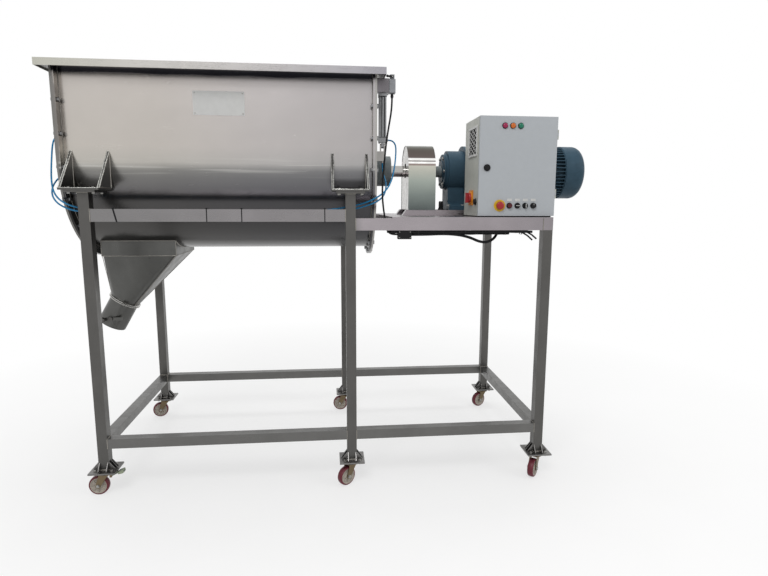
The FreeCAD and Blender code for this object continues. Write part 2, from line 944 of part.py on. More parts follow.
def make_cylinders():
    """A barrel that tilts on the base pin, and a rod with piston and eye, at each end."""
    y = -s.cylinder_side
    low_cap = cylinder_base_height + s.eye_radius + s.cap_clearance
    high_cap = cylinder_top - s.cylinder_upper_cap
    half = s.cylinder_cap / 2
    for name, hand in (("left", -1), ("right", 1)):
        middle = cylinder_line(hand)
        lower = box(middle - half, y - half, low_cap, s.cylinder_cap, s.cylinder_cap, s.cylinder_lower_cap)
        upper = box(middle - half, y - half, high_cap, s.cylinder_cap, s.cylinder_cap, s.cylinder_upper_cap)
        tube_low = low_cap + s.cylinder_lower_cap
        barrel = rod(middle, y, tube_low, s.cylinder_tube_radius, high_cap - tube_low)
        eye = hanging_eye(middle, s.eye_thick, y, cylinder_base_height, s.eye_radius, low_cap)
        fittings = []
        for height, length in ((low_cap + s.cylinder_lower_cap / 2, s.fitting_length),
                               (high_cap + s.cylinder_upper_cap / 2, s.fitting_length)):
            begin = middle + half if hand > 0 else middle - half - length
            fittings.append(rod(begin, y, height, s.fitting_radius, length, "X"))
        valve_x = middle + hand * (half + s.fitting_length - s.fitting_radius)
        fittings.append(rod(valve_x, y, high_cap + s.cylinder_upper_cap / 2, s.fitting_radius - 1, s.valve_height))
        bore_low = tube_low
        bore = rod(middle, y, bore_low, s.cylinder_bore_radius, high_cap - bore_low)
        rod_hole = rod(middle, y, bore_low, s.cylinder_rod_radius + s.running_fit, cylinder_top - bore_low + 1)
        pin_hole = rod(middle - s.eye_thick, y, cylinder_base_height,
                       s.pivot_radius + s.running_fit, 2 * s.eye_thick, "X")
        node(cut(fuse(lower, upper, barrel, eye, *fittings), fuse(bore, rod_hole), pin_hole), f"cylinder_barrel_{name}")

        piston_low = bore_low + s.side_play
        piston = rod(middle, y, piston_low, s.cylinder_bore_radius - s.running_fit, s.piston_thick)
        eye_low = cylinder_eye_height - s.eye_radius - s.rod_neck
        stem = rod(middle, y, piston_low, s.cylinder_rod_radius, eye_low - piston_low)
        rod_eye = upright_eye(middle, s.eye_thick, y, cylinder_eye_height, s.eye_radius, eye_low)
        span = s.eye_thick + s.pin_head
        pin_x = middle - s.eye_thick / 2 if hand > 0 else middle + s.eye_thick / 2 - span
        pin = rod(pin_x, y, cylinder_eye_height, s.pivot_radius + 2, span, "X")
        node(fuse(piston, stem, rod_eye, pin), f"cylinder_rod_{name}")


def make_limit_switch():
    """Switch box on a folded bracket, with its head, gland and a roller lever at the lid's edge."""
    y = -s.switch_side
    left = outer_right
    base_low = switch_base_top - s.switch_base_height
    bracket = box(left, y - s.switch_base_depth / 2, base_low,
                  s.switch_base_width, s.switch_base_depth, s.switch_base_height)
    hollow = box(left - 1, y - s.switch_base_depth / 2 + s.panel_sheet, base_low + s.panel_sheet,
                 s.switch_base_width - s.panel_sheet + 1, s.switch_base_depth,
                 s.switch_base_height - 2 * s.panel_sheet)
    body_x = left + s.switch_base_width
    body_top = switch_base_top - s.switch_body_drop
    body = box(body_x, y - s.switch_depth / 2, body_top - s.switch_height,
               s.switch_width, s.switch_depth, s.switch_height)
    head_x = body_x + s.switch_width / 2
    head = box(head_x - s.switch_head / 2, y - s.switch_head / 2, body_top,
               s.switch_head, s.switch_head, s.switch_head)
    gland = rod(head_x, y, body_top - s.switch_height - s.gland_drop, s.switch_gland_radius, s.gland_drop)
    pivot_z = body_top + s.switch_head / 2
    front = y - s.switch_depth / 2
    stud_y = front - s.lever_thick - 2 * s.side_play
    stud = rod(head_x, stud_y, pivot_z, s.damper_shaft_radius / 2, y - stud_y, "Y")
    node(group(cut(bracket, hollow), body, fuse(head, stud), gland), "limit_switch")

    lid_end = trough_centre + s.trough_length / 2 + s.end_plate_thick + s.lid_end_overhang
    roller = s.roller_radius
    roller_x = lid_end + roller + s.roller_gap
    lever_y = front - s.side_play - s.lever_thick
    arm = prism("XZ", [[
        (roller_x, pivot_z - 4, roller_x, pivot_z, 1),
        (head_x, pivot_z - s.lever_half),
        (head_x, pivot_z + s.lever_half, head_x, pivot_z, 1),
        (roller_x, pivot_z + 4),
    ]], lever_y, s.lever_thick)
    wheel = rod(roller_x, lever_y - roller, pivot_z, roller, roller, "Y")
    hole = rod(head_x, lever_y - 1, pivot_z, s.damper_shaft_radius / 2 + s.running_fit, s.lever_thick + 2, "Y")
    node(cut(fuse(arm, wheel), hole), "switch_lever")


spout_x = collar_left + s.collar_length / 2 - s.spout_shift
spout_z = s.collar_bottom - s.spout_drop


def make_chute():
    """Square collar under the shell and a square-to-round chute down to a tilted ring."""
    wall = s.collar_wall
    left, right = collar_left, collar_left + s.collar_length
    front = -s.collar_width / 2
    outer = rectangle(left, front, s.collar_length, s.collar_width)
    inner = rectangle(left + wall, front + wall, s.collar_length - 2 * wall, s.collar_width - 2 * wall)
    duct = prism("XY", [outer, inner], s.collar_bottom, axis - s.collar_bottom)
    collar = cut(duct, outer_trough_form())

    body = DOC.addObject("PartDesign::Body", "Chute")
    for kind, shrink in (("AdditiveLoft", 0), ("SubtractiveLoft", s.spout_wall)):
        square = round_corners(left + shrink, front + shrink, s.collar_length - 2 * shrink,
                               s.collar_width - 2 * shrink, s.chute_corner - shrink)
        top = sketch_on(body, "XY", [square], s.collar_bottom)
        radius = s.spout_radius - shrink
        stops = [math.radians(a) for a in (-60, -30, 30, 60, 120, 150, 210, 240)]
        ring = [(radius * math.cos(a), radius * math.sin(a), 0, 0, 1) for a in stops]
        low = sketch_on(body, "XY", [ring], spout_z)
        low.AttachmentOffset = FreeCAD.Placement(
            V(float(spout_x), 0, float(spout_z)), FreeCAD.Rotation(V(0, 1, 0), float(s.spout_tilt)))
        bind(low, "AttachmentOffset.Base.x", spout_x)
        bind(low, "AttachmentOffset.Rotation.Angle", s.spout_tilt)
        loft = body.newObject(f"PartDesign::{kind}", "Transition")
        loft.Profile = (top, [""])
        loft.Sections = [(low, [""])]
        loft.Ruled = True
    ring_plate = along_spout([
        (-s.ring_thick, s.spout_radius),
        (-s.ring_thick, s.spout_radius + s.ring_reach),
        (0, s.spout_radius + s.ring_reach),
        (0, s.spout_radius - s.spout_wall),
        (-s.spout_wall, s.spout_radius - s.spout_wall / 2),
    ])
    node(group(collar, fuse(body, ring_plate)), "discharge_chute")


def along_spout(outline):
    """A body turned about the spout's tilted centre line, from the ring's face downwards."""
    body = turned(outline, spout_x, 0, spout_z)
    body.Placement.Rotation = FreeCAD.Rotation(V(0, 1, 0), 90 + float(s.spout_tilt))
    bind(body, "Placement.Rotation.Angle", 90 + s.spout_tilt)
    return body


def make_spout():
    """Tilted pipe with its ring and the damper's bosses and index plate."""
    inner = s.spout_radius - s.spout_wall
    pipe = along_spout([
        (0, inner),
        (0, s.spout_radius + s.ring_reach),
        (s.ring_thick, s.spout_radius + s.ring_reach),
        (s.ring_thick, s.spout_radius),
        (s.spout_length, s.spout_radius),
        (s.spout_length, inner),
    ])
    x, z = damper_place()
    boss_out = s.spout_radius + s.boss_reach
    bosses = rod(x, -boss_out, z, s.damper_shaft_radius + s.boss_wall, 2 * boss_out, "Y")
    core = along_spout([(-1, 0), (-1, inner), (s.spout_length + 1, inner), (s.spout_length + 1, 0)])
    hole = rod(x, -boss_out - 1, z, s.damper_shaft_radius + s.running_fit, 2 * boss_out + 2, "Y")
    index = box(x + s.damper_shaft_radius + s.boss_wall - 1, -boss_out, z - s.knob_radius / 2,
                s.index_length, s.lever_thick, s.knob_radius)
    node(cut(fuse(pipe, bosses, index), core, hole), "discharge_spout")


def damper_place():
    tilt = math.radians(float(s.spout_tilt))
    return spout_x - s.damper_setback * math.sin(tilt), spout_z - s.damper_setback * math.cos(tilt)


def make_damper():
    """Round flap on its cross shaft with a hand lever and ball, shown shut."""
    x, z = damper_place()
    flap_radius = s.spout_radius - s.spout_wall - s.damper_play
    half = s.damper_thick / 2
    flap = along_spout([
        (s.damper_setback - half, 0),
        (s.damper_setback - half, flap_radius),
        (s.damper_setback + half, flap_radius),
        (s.damper_setback + half, 0),
    ])
    reach = s.spout_radius + s.boss_reach
    front = reach + 2 * s.side_play + s.lever_thick
    shaft = rod(x, -front, z, s.damper_shaft_radius, front + reach, "Y")
    lever_y = -front
    arm_x = x - s.lever_length
    arm = prism("XZ", [[
        (arm_x, z - 8),
        (x, z - 11),
        (x, z + 11, x, z, 1),
        (arm_x, z + 8),
    ]], lever_y, s.lever_thick)
    stem = rod(arm_x, lever_y - s.knob_stem, z, s.knob_stem_radius, s.knob_stem, "Y")
    knob = ball(arm_x, lever_y - s.knob_stem - s.knob_radius / 2, z, s.knob_radius)
    node(fuse(flap, shaft, arm, stem, knob), "damper")


def flange_bolt_places():
    """Bolt centres in a flange: up both straight sides and evenly round the bowl."""
    radius = (shell_radius + flange_radius) / 2
    start = math.asin(float(s.flange_bolt_drop) / float(radius))
    steps = round((math.pi - 2 * start) * float(radius) / float(s.flange_bolt_pitch))
    places = []
    for step in range(steps + 1):
        angle = start + (math.pi - 2 * start) * step / steps
        places.append((radius * math.cos(angle), axis - radius * math.sin(angle)))
    rows = int((float(s.rim_height - axis) - float(s.flange_bolt_pitch) / 2) / float(s.flange_bolt_pitch))
    for row in range(1, rows + 1):
        for hand in (-1, 1):
            places.append((radius * hand, axis - s.flange_bolt_drop + s.flange_bolt_pitch * row))
    return places


def ribbon_angle(x, hand, phase):
    share = (x - float(inner_left)) / float(s.trough_length)
    return math.radians(phase) + hand * 2 * math.pi * float(s.ribbon_turns) * share


def ribbon(radius, width, hand, phase):
    """A helical band: the helicoid between two helices, thickened along the shaft."""
    radius, width, thick = float(radius), float(width), float(s.ribbon_thick)
    length = float(s.trough_length - 2 * s.ribbon_end_gap) - thick
    pitch = float(s.trough_length) / float(s.ribbon_turns)
    outer = Part.makeLongHelix(pitch, length, radius, 0, hand < 0)
    inner = Part.makeLongHelix(pitch, length, radius - width, 0, hand < 0)
    face = Part.makeRuledSurface(outer.Wires[0], inner.Wires[0])
    strips = face.extrude(V(0, 0, thick)).Solids
    band = strips[0].fuse(strips[1:]).removeSplitter()
    start = float(inner_left + s.ribbon_end_gap)
    turn = FreeCAD.Placement(V(start, 0, float(axis)), FreeCAD.Rotation(V(0, 1, 0), 90))
    spin = FreeCAD.Placement(V(), FreeCAD.Rotation(V(0, 0, 1), math.degrees(ribbon_angle(start, hand, phase)) + 90))
    band.Placement = turn.multiply(spin)
    return band


def make_agitator():
    """Shaft with radial arms, an outer ribbon and an inner one of opposite hand."""
    left_end = outer_left - s.bearing_length - s.shaft_stub
    right_end = outer_right + s.guard_start + s.coupling_inset + s.coupling_half
    bar = rod(left_end, 0, axis, s.shaft_radius, right_end - left_end, "X").Shape
    arms = []
    first = float(inner_left + s.ribbon_end_gap + s.ribbon_thick / 2)
    span = float(s.trough_length - 2 * s.ribbon_end_gap - s.ribbon_thick)
    count = int(float(s.arm_count))
    for place in range(count):
        x = first + span * place / (count - 1)
        for hand, phase, tip, radius in (
                (1, s.outer_phase, outer_ribbon_radius - s.outer_ribbon_width, s.arm_radius),
                (-1, s.inner_phase, s.inner_ribbon_radius - s.inner_ribbon_width, s.arm_radius * 0.75)):
            angle = ribbon_angle(x - float(s.ribbon_thick) / 2, hand, float(phase))
            direction = V(0, math.cos(angle), math.sin(angle))
            arms.append(Part.makeCylinder(float(radius), float(tip), V(x, 0, float(axis)), direction))
    shaped(bar.fuse(arms), "agitator_shaft")
    shaped(ribbon(outer_ribbon_radius, s.outer_ribbon_width, 1, float(s.outer_phase)), "outer_ribbon")
    shaped(ribbon(s.inner_ribbon_radius, s.inner_ribbon_width, -1, float(s.inner_phase)), "inner_ribbon")


def make_bearings():
    """A cast square-flanged housing with a seal ring at each end."""
    pieces = []
    side_length = s.bearing_flange_side
    for start, hand in ((outer_right, 1), (outer_left, -1)):
        flange_x = start if hand > 0 else start - s.bearing_flange_thick
        body = prism("YZ", [round_corners(-side_length / 2, axis - side_length / 2, side_length, side_length,
                                          s.bearing_corner)], flange_x, s.bearing_flange_thick)
        hub_x = start if hand > 0 else start - s.bearing_length
        hub = rod(hub_x, 0, axis, s.bearing_hub_radius, s.bearing_length, "X")
        bore = rod(hub_x - 1, 0, axis, s.shaft_radius + s.running_fit, s.bearing_length + 2, "X")
        seal_x = start if hand > 0 else start - s.gland_length
        recess = rod(seal_x, 0, axis, s.gland_radius, s.gland_length, "X")
        pieces.append(cut(fuse(body, hub), bore, recess))
        seal = rod(seal_x, 0, axis, s.gland_radius, s.gland_length, "X")
        pieces.append(cut(seal, rod(seal_x - 1, 0, axis, s.shaft_radius + s.running_fit, s.gland_length + 2, "X")))
    node(group(*pieces), "bearing_units")


def make_coupling():
    """Two jaw halves, the spider between them and the gearbox's output shaft."""
    first = outer_right + s.guard_start + s.coupling_inset
    second = first + s.coupling_half + s.coupling_gap
    bore = s.shaft_radius
    halves = []
    for start in (first, second):
        disc = rod(start, 0, axis, s.coupling_radius, s.coupling_half, "X")
        halves.append(cut(disc, rod(start - 1, 0, axis, bore, s.coupling_half + 2, "X")))
    spider = cut(rod(first + s.coupling_half, 0, axis, s.coupling_radius - 8, s.coupling_gap, "X"),
                 rod(first + s.coupling_half - 1, 0, axis, bore, s.coupling_gap + 2, "X"))
    gear_left = outer_right + s.gear_start
    output = rod(second, 0, axis, bore, gear_left + s.output_depth - second, "X")
    node(group(*halves, spider, output), "shaft_coupling")


def make_guard():
    """Folded sheet over the coupling, standing on the deck's rails."""
    start = outer_right + s.guard_start
    half = s.guard_half_width
    crown = s.guard_top - half
    foot = rail_top
    sheet = s.guard_sheet
    node(prism("YZ", [[
        (half, foot),
        (half, crown),
        (-half, crown, 0, crown, 1),
        (-half, foot),
        (-half - s.guard_foot, foot),
        (-half - s.guard_foot, foot + sheet),
        (-half - sheet, foot + sheet),
        (-half - sheet, crown),
        (half + sheet, crown, 0, crown, -1),
        (half + sheet, foot + sheet),
        (half + s.guard_foot, foot + sheet),
        (half + s.guard_foot, foot),
    ]], start, s.guard_length), "coupling_guard")


rail_top = s.deck_top + s.guard_rail_height
gear_left = outer_right + s.gear_start
gear_right = gear_left + s.gear_length + s.gear_flange_thick
motor_end = gear_right + s.motor_length


def make_deck():
    """Deck plate with two welded rails that carry the guard and the gearbox."""
    start = outer_right + s.deck_gap
    end = right_leg + half_leg
    low = s.deck_top - s.deck_plate_thick
    plate = box(start, -side - half_leg, low, end - start, s.frame_width + s.leg_side, s.deck_plate_thick)
    rail_left = outer_right + s.guard_start - s.rail_lead
    rails = []
    for middle in (-s.rail_spread, s.rail_spread):
        rails.append(prism("XZ", [[
            (rail_left, s.deck_top),
            (gear_right, s.deck_top),
            (gear_right, rail_top),
            (rail_left + s.guard_rail_bevel, rail_top),
        ]], middle - s.guard_rail_width / 2, s.guard_rail_width))
    gland = rod(deck_gland_x, -side + s.deck_gland_back, deck_gland_z, s.deck_gland_radius, s.deck_gland_length)
    node(fuse(plate, gland, *rails), "deck_plate")


def make_gearbox():
    """Cast gear case on a foot, with a bolted cover ring and the motor flange."""
    case = turned([
        (0, 0),
        (0, s.gear_radius - s.gear_cover_step - 12),
        (12, s.gear_radius - s.gear_cover_step),
        (s.gear_cover_thick, s.gear_radius - s.gear_cover_step),
        (s.gear_cover_thick, s.gear_radius),
        (s.gear_length, s.gear_radius),
        (s.gear_length, s.gear_flange_radius),
        (s.gear_length + s.gear_flange_thick, s.gear_flange_radius),
        (s.gear_length + s.gear_flange_thick, 0),
    ], gear_left, 0, axis)
    neck_half = s.gear_neck_width / 2
    foot_half = s.gear_foot_width / 2
    foot_top = rail_top + s.gear_foot_height
    neck = prism("YZ", [[
        (-foot_half, rail_top),
        (foot_half, rail_top),
        (foot_half, foot_top),
        (neck_half, foot_top + s.gear_neck_rise),
        (neck_half, axis),
        (-neck_half, axis),
        (-neck_half, foot_top + s.gear_neck_rise),
        (-foot_half, foot_top),
    ]], gear_left + s.gear_cover_thick, s.gear_length + s.gear_flange_thick - s.gear_cover_thick)
    bore = rod(gear_left - 1, 0, axis, s.shaft_radius + s.running_fit, s.output_depth + 2, "X")
    node(cut(fuse(case, neck), bore), "gearbox")


def make_motor():
    """Finned motor body between two shields, with its terminal box on top."""
    shield = s.motor_shield
    core_end = s.motor_length - s.fan_cover_length + s.cover_overlap
    body = turned([
        (0, 0),
        (0, s.gear_flange_radius - 20),
        (s.motor_neck, s.motor_core_radius),
        (s.motor_neck, s.motor_fin_radius),
        (s.motor_neck + shield, s.motor_fin_radius),
        (s.motor_neck + shield, s.motor_core_radius),
        (core_end - shield, s.motor_core_radius),
        (core_end - shield, s.motor_fin_radius),
        (core_end, s.motor_fin_radius),
        (core_end, 0),
    ], gear_right, 0, axis)
    fin = pad_on(body, "YZ", [rectangle(
        -s.motor_fin_thick / 2, s.motor_core_radius - 3, s.motor_fin_thick,
        s.motor_fin_radius - s.motor_core_radius + 3)], s.motor_neck + shield, core_end - s.motor_neck - 2 * shield)
    ring = body.newObject("PartDesign::PolarPattern", "Fins")
    ring.Originals = [fin]
    ring.Axis = (plane_of(body, "X_Axis"), [""])
    ring.Angle = 360
    bind(ring, "Occurrences", s.motor_fin_count)
    body.Tip = ring
    box_x = gear_right + s.motor_neck + shield + s.terminal_box_setback
    terminal = box(box_x, -s.terminal_box_width / 2, axis + s.motor_core_radius,
                   s.terminal_box_length, s.terminal_box_width, s.terminal_box_height)
    bore = rod(gear_right + core_end - s.rotor_depth, 0, axis, s.rotor_shaft_radius + s.running_fit,
               s.rotor_depth + 1, "X")
    node(cut(fuse(body, terminal), bore), "motor")


def make_fan_cover():
    """Pressed cover with a rounded rim and slots round its end."""
    inner = s.motor_fin_radius + s.cover_play
    outer = inner + s.fan_cover_sheet
    length = s.fan_cover_length
    bend = s.fan_cover_round
    sheet = s.fan_cover_sheet
    body = turned([
        (0, inner),
        (0, outer),
        (length - bend, outer),
        (length, outer - bend, length - bend, outer - bend, -1),
        (length, s.cover_eye_radius),
        (length - sheet, s.cover_eye_radius),
        (length - sheet, outer - bend),
        (length - bend, inner, length - bend, outer - bend, 1),
    ], motor_end - length, 0, axis)
    slot_length = outer - bend - s.cover_slot_start - s.cover_slot_end
    slot = pocket_on(body, "YZ", [rectangle(-s.cover_slot / 2, s.cover_slot_start, s.cover_slot, slot_length)],
                     length - 2 * sheet, 4 * sheet)
    ring = body.newObject("PartDesign::PolarPattern", "Slots")
    ring.Originals = [slot]
    ring.Axis = (plane_of(body, "X_Axis"), [""])
    ring.Angle = 360
    bind(ring, "Occurrences", s.cover_slot_count)
    body.Tip = ring
    node(body, "fan_cover")


def make_rotor():
    """Rear end of the motor shaft with its fan."""
    core_end = motor_end - s.fan_cover_length + s.cover_overlap
    shaft_start = core_end - s.rotor_depth
    fan_start = core_end + s.fan_gap
    shaft = rod(shaft_start, 0, axis, s.rotor_shaft_radius, s.rotor_depth + s.fan_gap + s.fan_depth, "X")
    disc = rod(fan_start, 0, axis, s.fan_radius, s.fan_blade_thick, "X")
    hub = rod(fan_start, 0, axis, s.rotor_shaft_radius + 12, s.fan_depth, "X")
    blades = []
    count = int(float(s.fan_blade_count))
    for place in range(count):
        blade = box(fan_start, -s.fan_blade_thick / 2, axis + s.rotor_shaft_radius, s.fan_depth,
                    s.fan_blade_thick, s.fan_radius - s.rotor_shaft_radius - 4)
        turn = FreeCAD.Rotation(V(1, 0, 0), 360 * place / count)
        middle = V(0, 0, float(axis))
        twin = DOC.addObject("Part::Compound", "Blade")
        twin.Links = [blade]
        twin.Placement = FreeCAD.Placement(V(), turn, middle)
        blades.append(twin)
    node(fuse(shaft, disc, hub, *blades), "motor_rotor")


panel_x = outer_right + s.panel_start
panel_z = s.deck_top + s.panel_foot_height
panel_y = -side + s.panel_setback
door_y = panel_y - s.door_depth


def make_panel_body():
    """Sheet steel enclosure, open at the front, with a slotted vent in its left wall."""
    body = prism("XY", [rectangle(panel_x, panel_y, s.panel_width, s.panel_depth)], panel_z, s.panel_height)
    inside = rectangle(panel_x + s.panel_sheet, panel_z + s.panel_sheet,
                       s.panel_width - 2 * s.panel_sheet, s.panel_height - 2 * s.panel_sheet)
    pocket_on(body, "XZ", [inside], panel_y, s.panel_depth - s.panel_sheet)
    pitch = s.vent_height / s.vent_slots
    slot = pocket_on(body, "YZ", [rectangle(panel_y + s.vent_inset, panel_z + s.vent_bottom,
                                            s.vent_width, pitch / 2)], panel_x - 1, s.panel_sheet + 2)
    rows = body.newObject("PartDesign::LinearPattern", "Vent")
    rows.Originals = [slot]
    rows.Direction = (plane_of(body, "Z_Axis"), [""])
    bind(rows, "Length", s.vent_height - pitch)
    bind(rows, "Occurrences", s.vent_slots)
    body.Tip = rows
    feet = [box(panel_x + x, panel_y + s.panel_foot_inset, s.deck_top, s.panel_foot_width,
                s.panel_depth - 2 * s.panel_foot_inset, s.panel_foot_height)
            for x in (s.panel_foot_inset, s.panel_width - s.panel_foot_inset - s.panel_foot_width)]
    hinge_x = panel_x + s.panel_width + s.door_hinge_radius + 1
    hinges = []
    for share in (0.18, 0.78):
        low = panel_z + s.panel_height * share
        for part in (0, 2):
            knuckle = rod(hinge_x, panel_y, low + part * s.door_hinge_part, s.door_hinge_radius,
                          s.door_hinge_part - s.side_play)
            web = box(panel_x + s.panel_width - 1, panel_y, low + part * s.door_hinge_part,
                      s.door_hinge_radius + 2, s.door_hinge_radius, s.door_hinge_part - s.side_play)
            hinges.extend([knuckle, web])
        hinges.append(rod(hinge_x, panel_y, low, s.door_pin_radius, 3 * s.door_hinge_part - s.side_play))
    switch_z = panel_z + s.main_switch_height
    hole = rod(panel_x - 1, panel_y + s.main_switch_back, switch_z, s.switch_stem_radius + s.running_fit,
               s.panel_sheet + 2, "X")
    node(cut(fuse(body, *feet, *hinges), hole), "panel_body")


def make_panel_door():
    """Pan door with holes for the stems and its own hinge knuckles."""
    left = panel_x
    width = s.panel_width
    pan = prism("XZ", [rectangle(left, panel_z, width, s.panel_height)], door_y, s.door_depth - s.door_gap)
    pocket_back = door_y + s.panel_sheet
    inside = rectangle(left + s.panel_sheet, panel_z + s.panel_sheet, width - 2 * s.panel_sheet,
                       s.panel_height - 2 * s.panel_sheet)
    hollow_body = prism("XZ", [inside], pocket_back, s.door_depth)
    holes = [rod(x, door_y - 1, z, radius, s.panel_sheet + 2, "Y") for x, z, radius in stem_places()]
    hinge_x = left + width + s.door_hinge_radius + 1
    hinges = []
    for share in (0.18, 0.78):
        low = panel_z + s.panel_height * share + s.door_hinge_part
        knuckle = rod(hinge_x, panel_y, low, s.door_hinge_radius, s.door_hinge_part - s.side_play)
        web = box(left + width - 1, panel_y - s.door_hinge_radius, low, s.door_hinge_radius + 2,
                  s.door_hinge_radius, s.door_hinge_part - s.side_play)
        hinges.append(cut(fuse(knuckle, web),
                          rod(hinge_x, panel_y, low - 1, s.door_pin_radius + s.running_fit, s.door_hinge_part + 2)))
    node(fuse(cut(pan, hollow_body, *holes), *hinges), "panel_door")


def stem_places():
    """Each moving control's centre and the hole for its stem."""
    z = panel_z + s.button_height
    stem = s.stem_radius + s.stem_play
    places = [(panel_x + x, z, stem) for x in (s.stop_place, s.push_place, s.selector_place,
                                               s.selector_place + s.selector_pitch, s.knob_place)]
    places.append((panel_x + s.lock_place, panel_z + s.lock_height, s.lock_stem_radius + s.stem_play))
    return places


def make_panel_controls():
    """Everything on the door: fixed rings and lamps, then each control that moves."""
    (stop, push, turn_a, turn_b, knob), lock = stem_places()[:5], stem_places()[5]
    collar = s.bezel_depth
    fixed = []
    for number in range(3):
        x = panel_x + s.lamp_first + s.lamp_pitch * number
        z = panel_z + s.lamp_height
        fixed.append(fuse(rod(x, door_y - collar, z, s.lamp_bezel, collar, "Y"),
                          rod(x, door_y - collar - s.lamp_rise, z, s.lamp_radius, s.lamp_rise, "Y")))
    for (x, z, hole), radius in ((stop, s.stop_plate_radius), (push, s.button_radius), (turn_a, s.button_radius),
                                 (turn_b, s.button_radius), (knob, s.button_radius)):
        fixed.append(cut(rod(x, door_y - collar, z, radius, collar, "Y"),
                         rod(x, door_y - collar - 1, z, hole, collar + 2, "Y")))
    node(group(*fixed), "panel_fittings")

    def control(place, name, head_radius, head_depth, gap, stem=s.stem_radius, extra=None):
        x, z, _ = place
        face = door_y - collar - gap - head_depth
        head = rod(x, face, z, head_radius, head_depth, "Y")
        stalk = rod(x, face, z, stem, head_depth + gap + collar + s.stem_length, "Y")
        pieces = [head, stalk]
        if extra:
            pieces.append(extra(x, face, z))
        node(fuse(*pieces), name)

    travel = s.button_travel
    control(stop, "stop_button", s.stop_radius, s.stop_depth, travel + s.side_play)
    control(push, "push_button", s.button_radius - 3, s.button_depth, travel + s.side_play)
    control(knob, "knob_button", s.knob_button_radius, s.button_depth, travel + s.side_play)

    def wing_across(x, face, z):
        return box(x - s.wing_length / 2, face - s.wing_depth, z - s.wing_thick / 2,
                   s.wing_length, s.wing_depth, s.wing_thick)

    def wing_upright(x, face, z):
        return box(x - s.wing_thick / 2, face - s.wing_depth, z - s.wing_length / 2,
                   s.wing_thick, s.wing_depth, s.wing_length)

    control(turn_a, "selector_left", s.button_radius - 2, s.button_depth / 2, s.side_play, extra=wing_across)
    control(turn_b, "selector_right", s.button_radius - 2, s.button_depth / 2, s.side_play, extra=wing_upright)

    x, z, _ = lock
    face = door_y - s.lock_depth
    body = rod(x, face, z, s.lock_radius, s.lock_depth - s.side_play, "Y")
    stalk = rod(x, face, z, s.lock_stem_radius, s.lock_depth + s.stem_length, "Y")
    slot = box(x - s.lock_radius * 0.6, face - 1, z - 2, s.lock_radius * 1.2, 3, 4)
    cam = box(x - s.lock_cam_length, door_y + s.panel_sheet + s.side_play, z - 6, s.lock_cam_length, 3, 12)
    node(cut(fuse(body, stalk, cam), slot), "door_lock")


def make_panel_gear():
    """Mounting plate with drive, contactors and terminals, and the main switch's plate."""
    back = panel_y + s.panel_depth - s.panel_sheet - s.mount_plate_thick
    inset = s.gear_plate_inset
    plate = box(panel_x + inset, back, panel_z + inset, s.panel_width - 2 * inset, s.mount_plate_thick,
                s.panel_height - 2 * inset)
    pieces = [plate]
    for x, z, width, height, depth in (
            (s.inverter_left, s.inverter_rise, s.inverter_width, s.inverter_height, s.inverter_depth),
            (s.contactor_left, s.contactor_rise, s.contactor_width, s.contactor_height, s.contactor_depth),
            (s.contactor_left + s.contactor_pitch, s.contactor_rise, s.contactor_width, s.contactor_height,
             s.contactor_depth),
            (s.terminal_left, s.terminal_rise, s.terminal_width, s.terminal_height, s.terminal_depth),
            (s.breaker_left, s.breaker_rise, s.breaker_width, s.breaker_height, s.breaker_depth)):
        pieces.append(box(panel_x + x, back - depth, panel_z + z, width, depth, height))
    switch_y = panel_y + s.main_switch_back
    switch_z = panel_z + s.main_switch_height
    half = s.switch_plate_side / 2
    hole = rod(panel_x - s.switch_plate_thick - 1, switch_y, switch_z, s.switch_stem_radius + s.running_fit,
               s.switch_plate_thick + 2, "X")
    pieces.append(cut(box(panel_x - s.switch_plate_thick, switch_y - half, switch_z - half,
                          s.switch_plate_thick, s.switch_plate_side, s.switch_plate_side), hole))
    pieces.append(box(valve_x, -side - half_leg + 2, valve_z - s.valve_box_height / 2,
                      s.valve_box_length, s.leg_side - 4, s.valve_box_height))
    pieces.append(rod(panel_x - s.plug_depth, panel_y + s.plug_back, switch_z - s.plug_drop, s.plug_radius,
                      s.plug_depth, "X"))
    node(group(*pieces), "panel_gear")

    face = panel_x - s.switch_plate_thick - s.side_play
    disc = rod(face - s.switch_knob_depth, switch_y, switch_z, s.switch_knob_radius, s.switch_knob_depth, "X")
    grip = box(face - s.switch_knob_depth - s.wing_depth, switch_y - s.switch_knob_radius,
               switch_z - s.wing_thick, s.wing_depth, 2 * s.switch_knob_radius, 2 * s.wing_thick)
    stalk = rod(face - 1, switch_y, switch_z, s.switch_stem_radius, s.switch_plate_thick + s.stem_length, "X")
    node(fuse(disc, grip, stalk), "main_switch")


CASTERS = (
    ("front_left", left_leg, -side, 180),
    ("rear_left", left_leg, side, 195),
    ("front_middle", middle_leg, -side, 217),
    ("rear_middle", middle_leg, side, 170),
    ("front_right", right_leg, -side, 231),
    ("rear_right", right_leg, side, 205),
)


def brake_ears(fork_top):
    """Two ears under the crown's leading edge with the pedal's pin."""
    x = -s.pedal_pin_back
    z = fork_top - s.fork_thick - s.pedal_pin_drop
    pieces = []
    for y in (-s.pedal_width / 2 - s.fork_thick, s.pedal_width / 2):
        pieces.append(box(x - s.pedal_sleeve, y, z - s.pedal_sleeve, 2 * s.pedal_sleeve, s.fork_thick,
                          s.pedal_pin_drop + s.pedal_sleeve + 1))
    pieces.append(rod(x, -s.pedal_width / 2 - s.fork_thick, z, s.pedal_pin_radius,
                      s.pedal_width + 2 * s.fork_thick, "Y"))
    return pieces


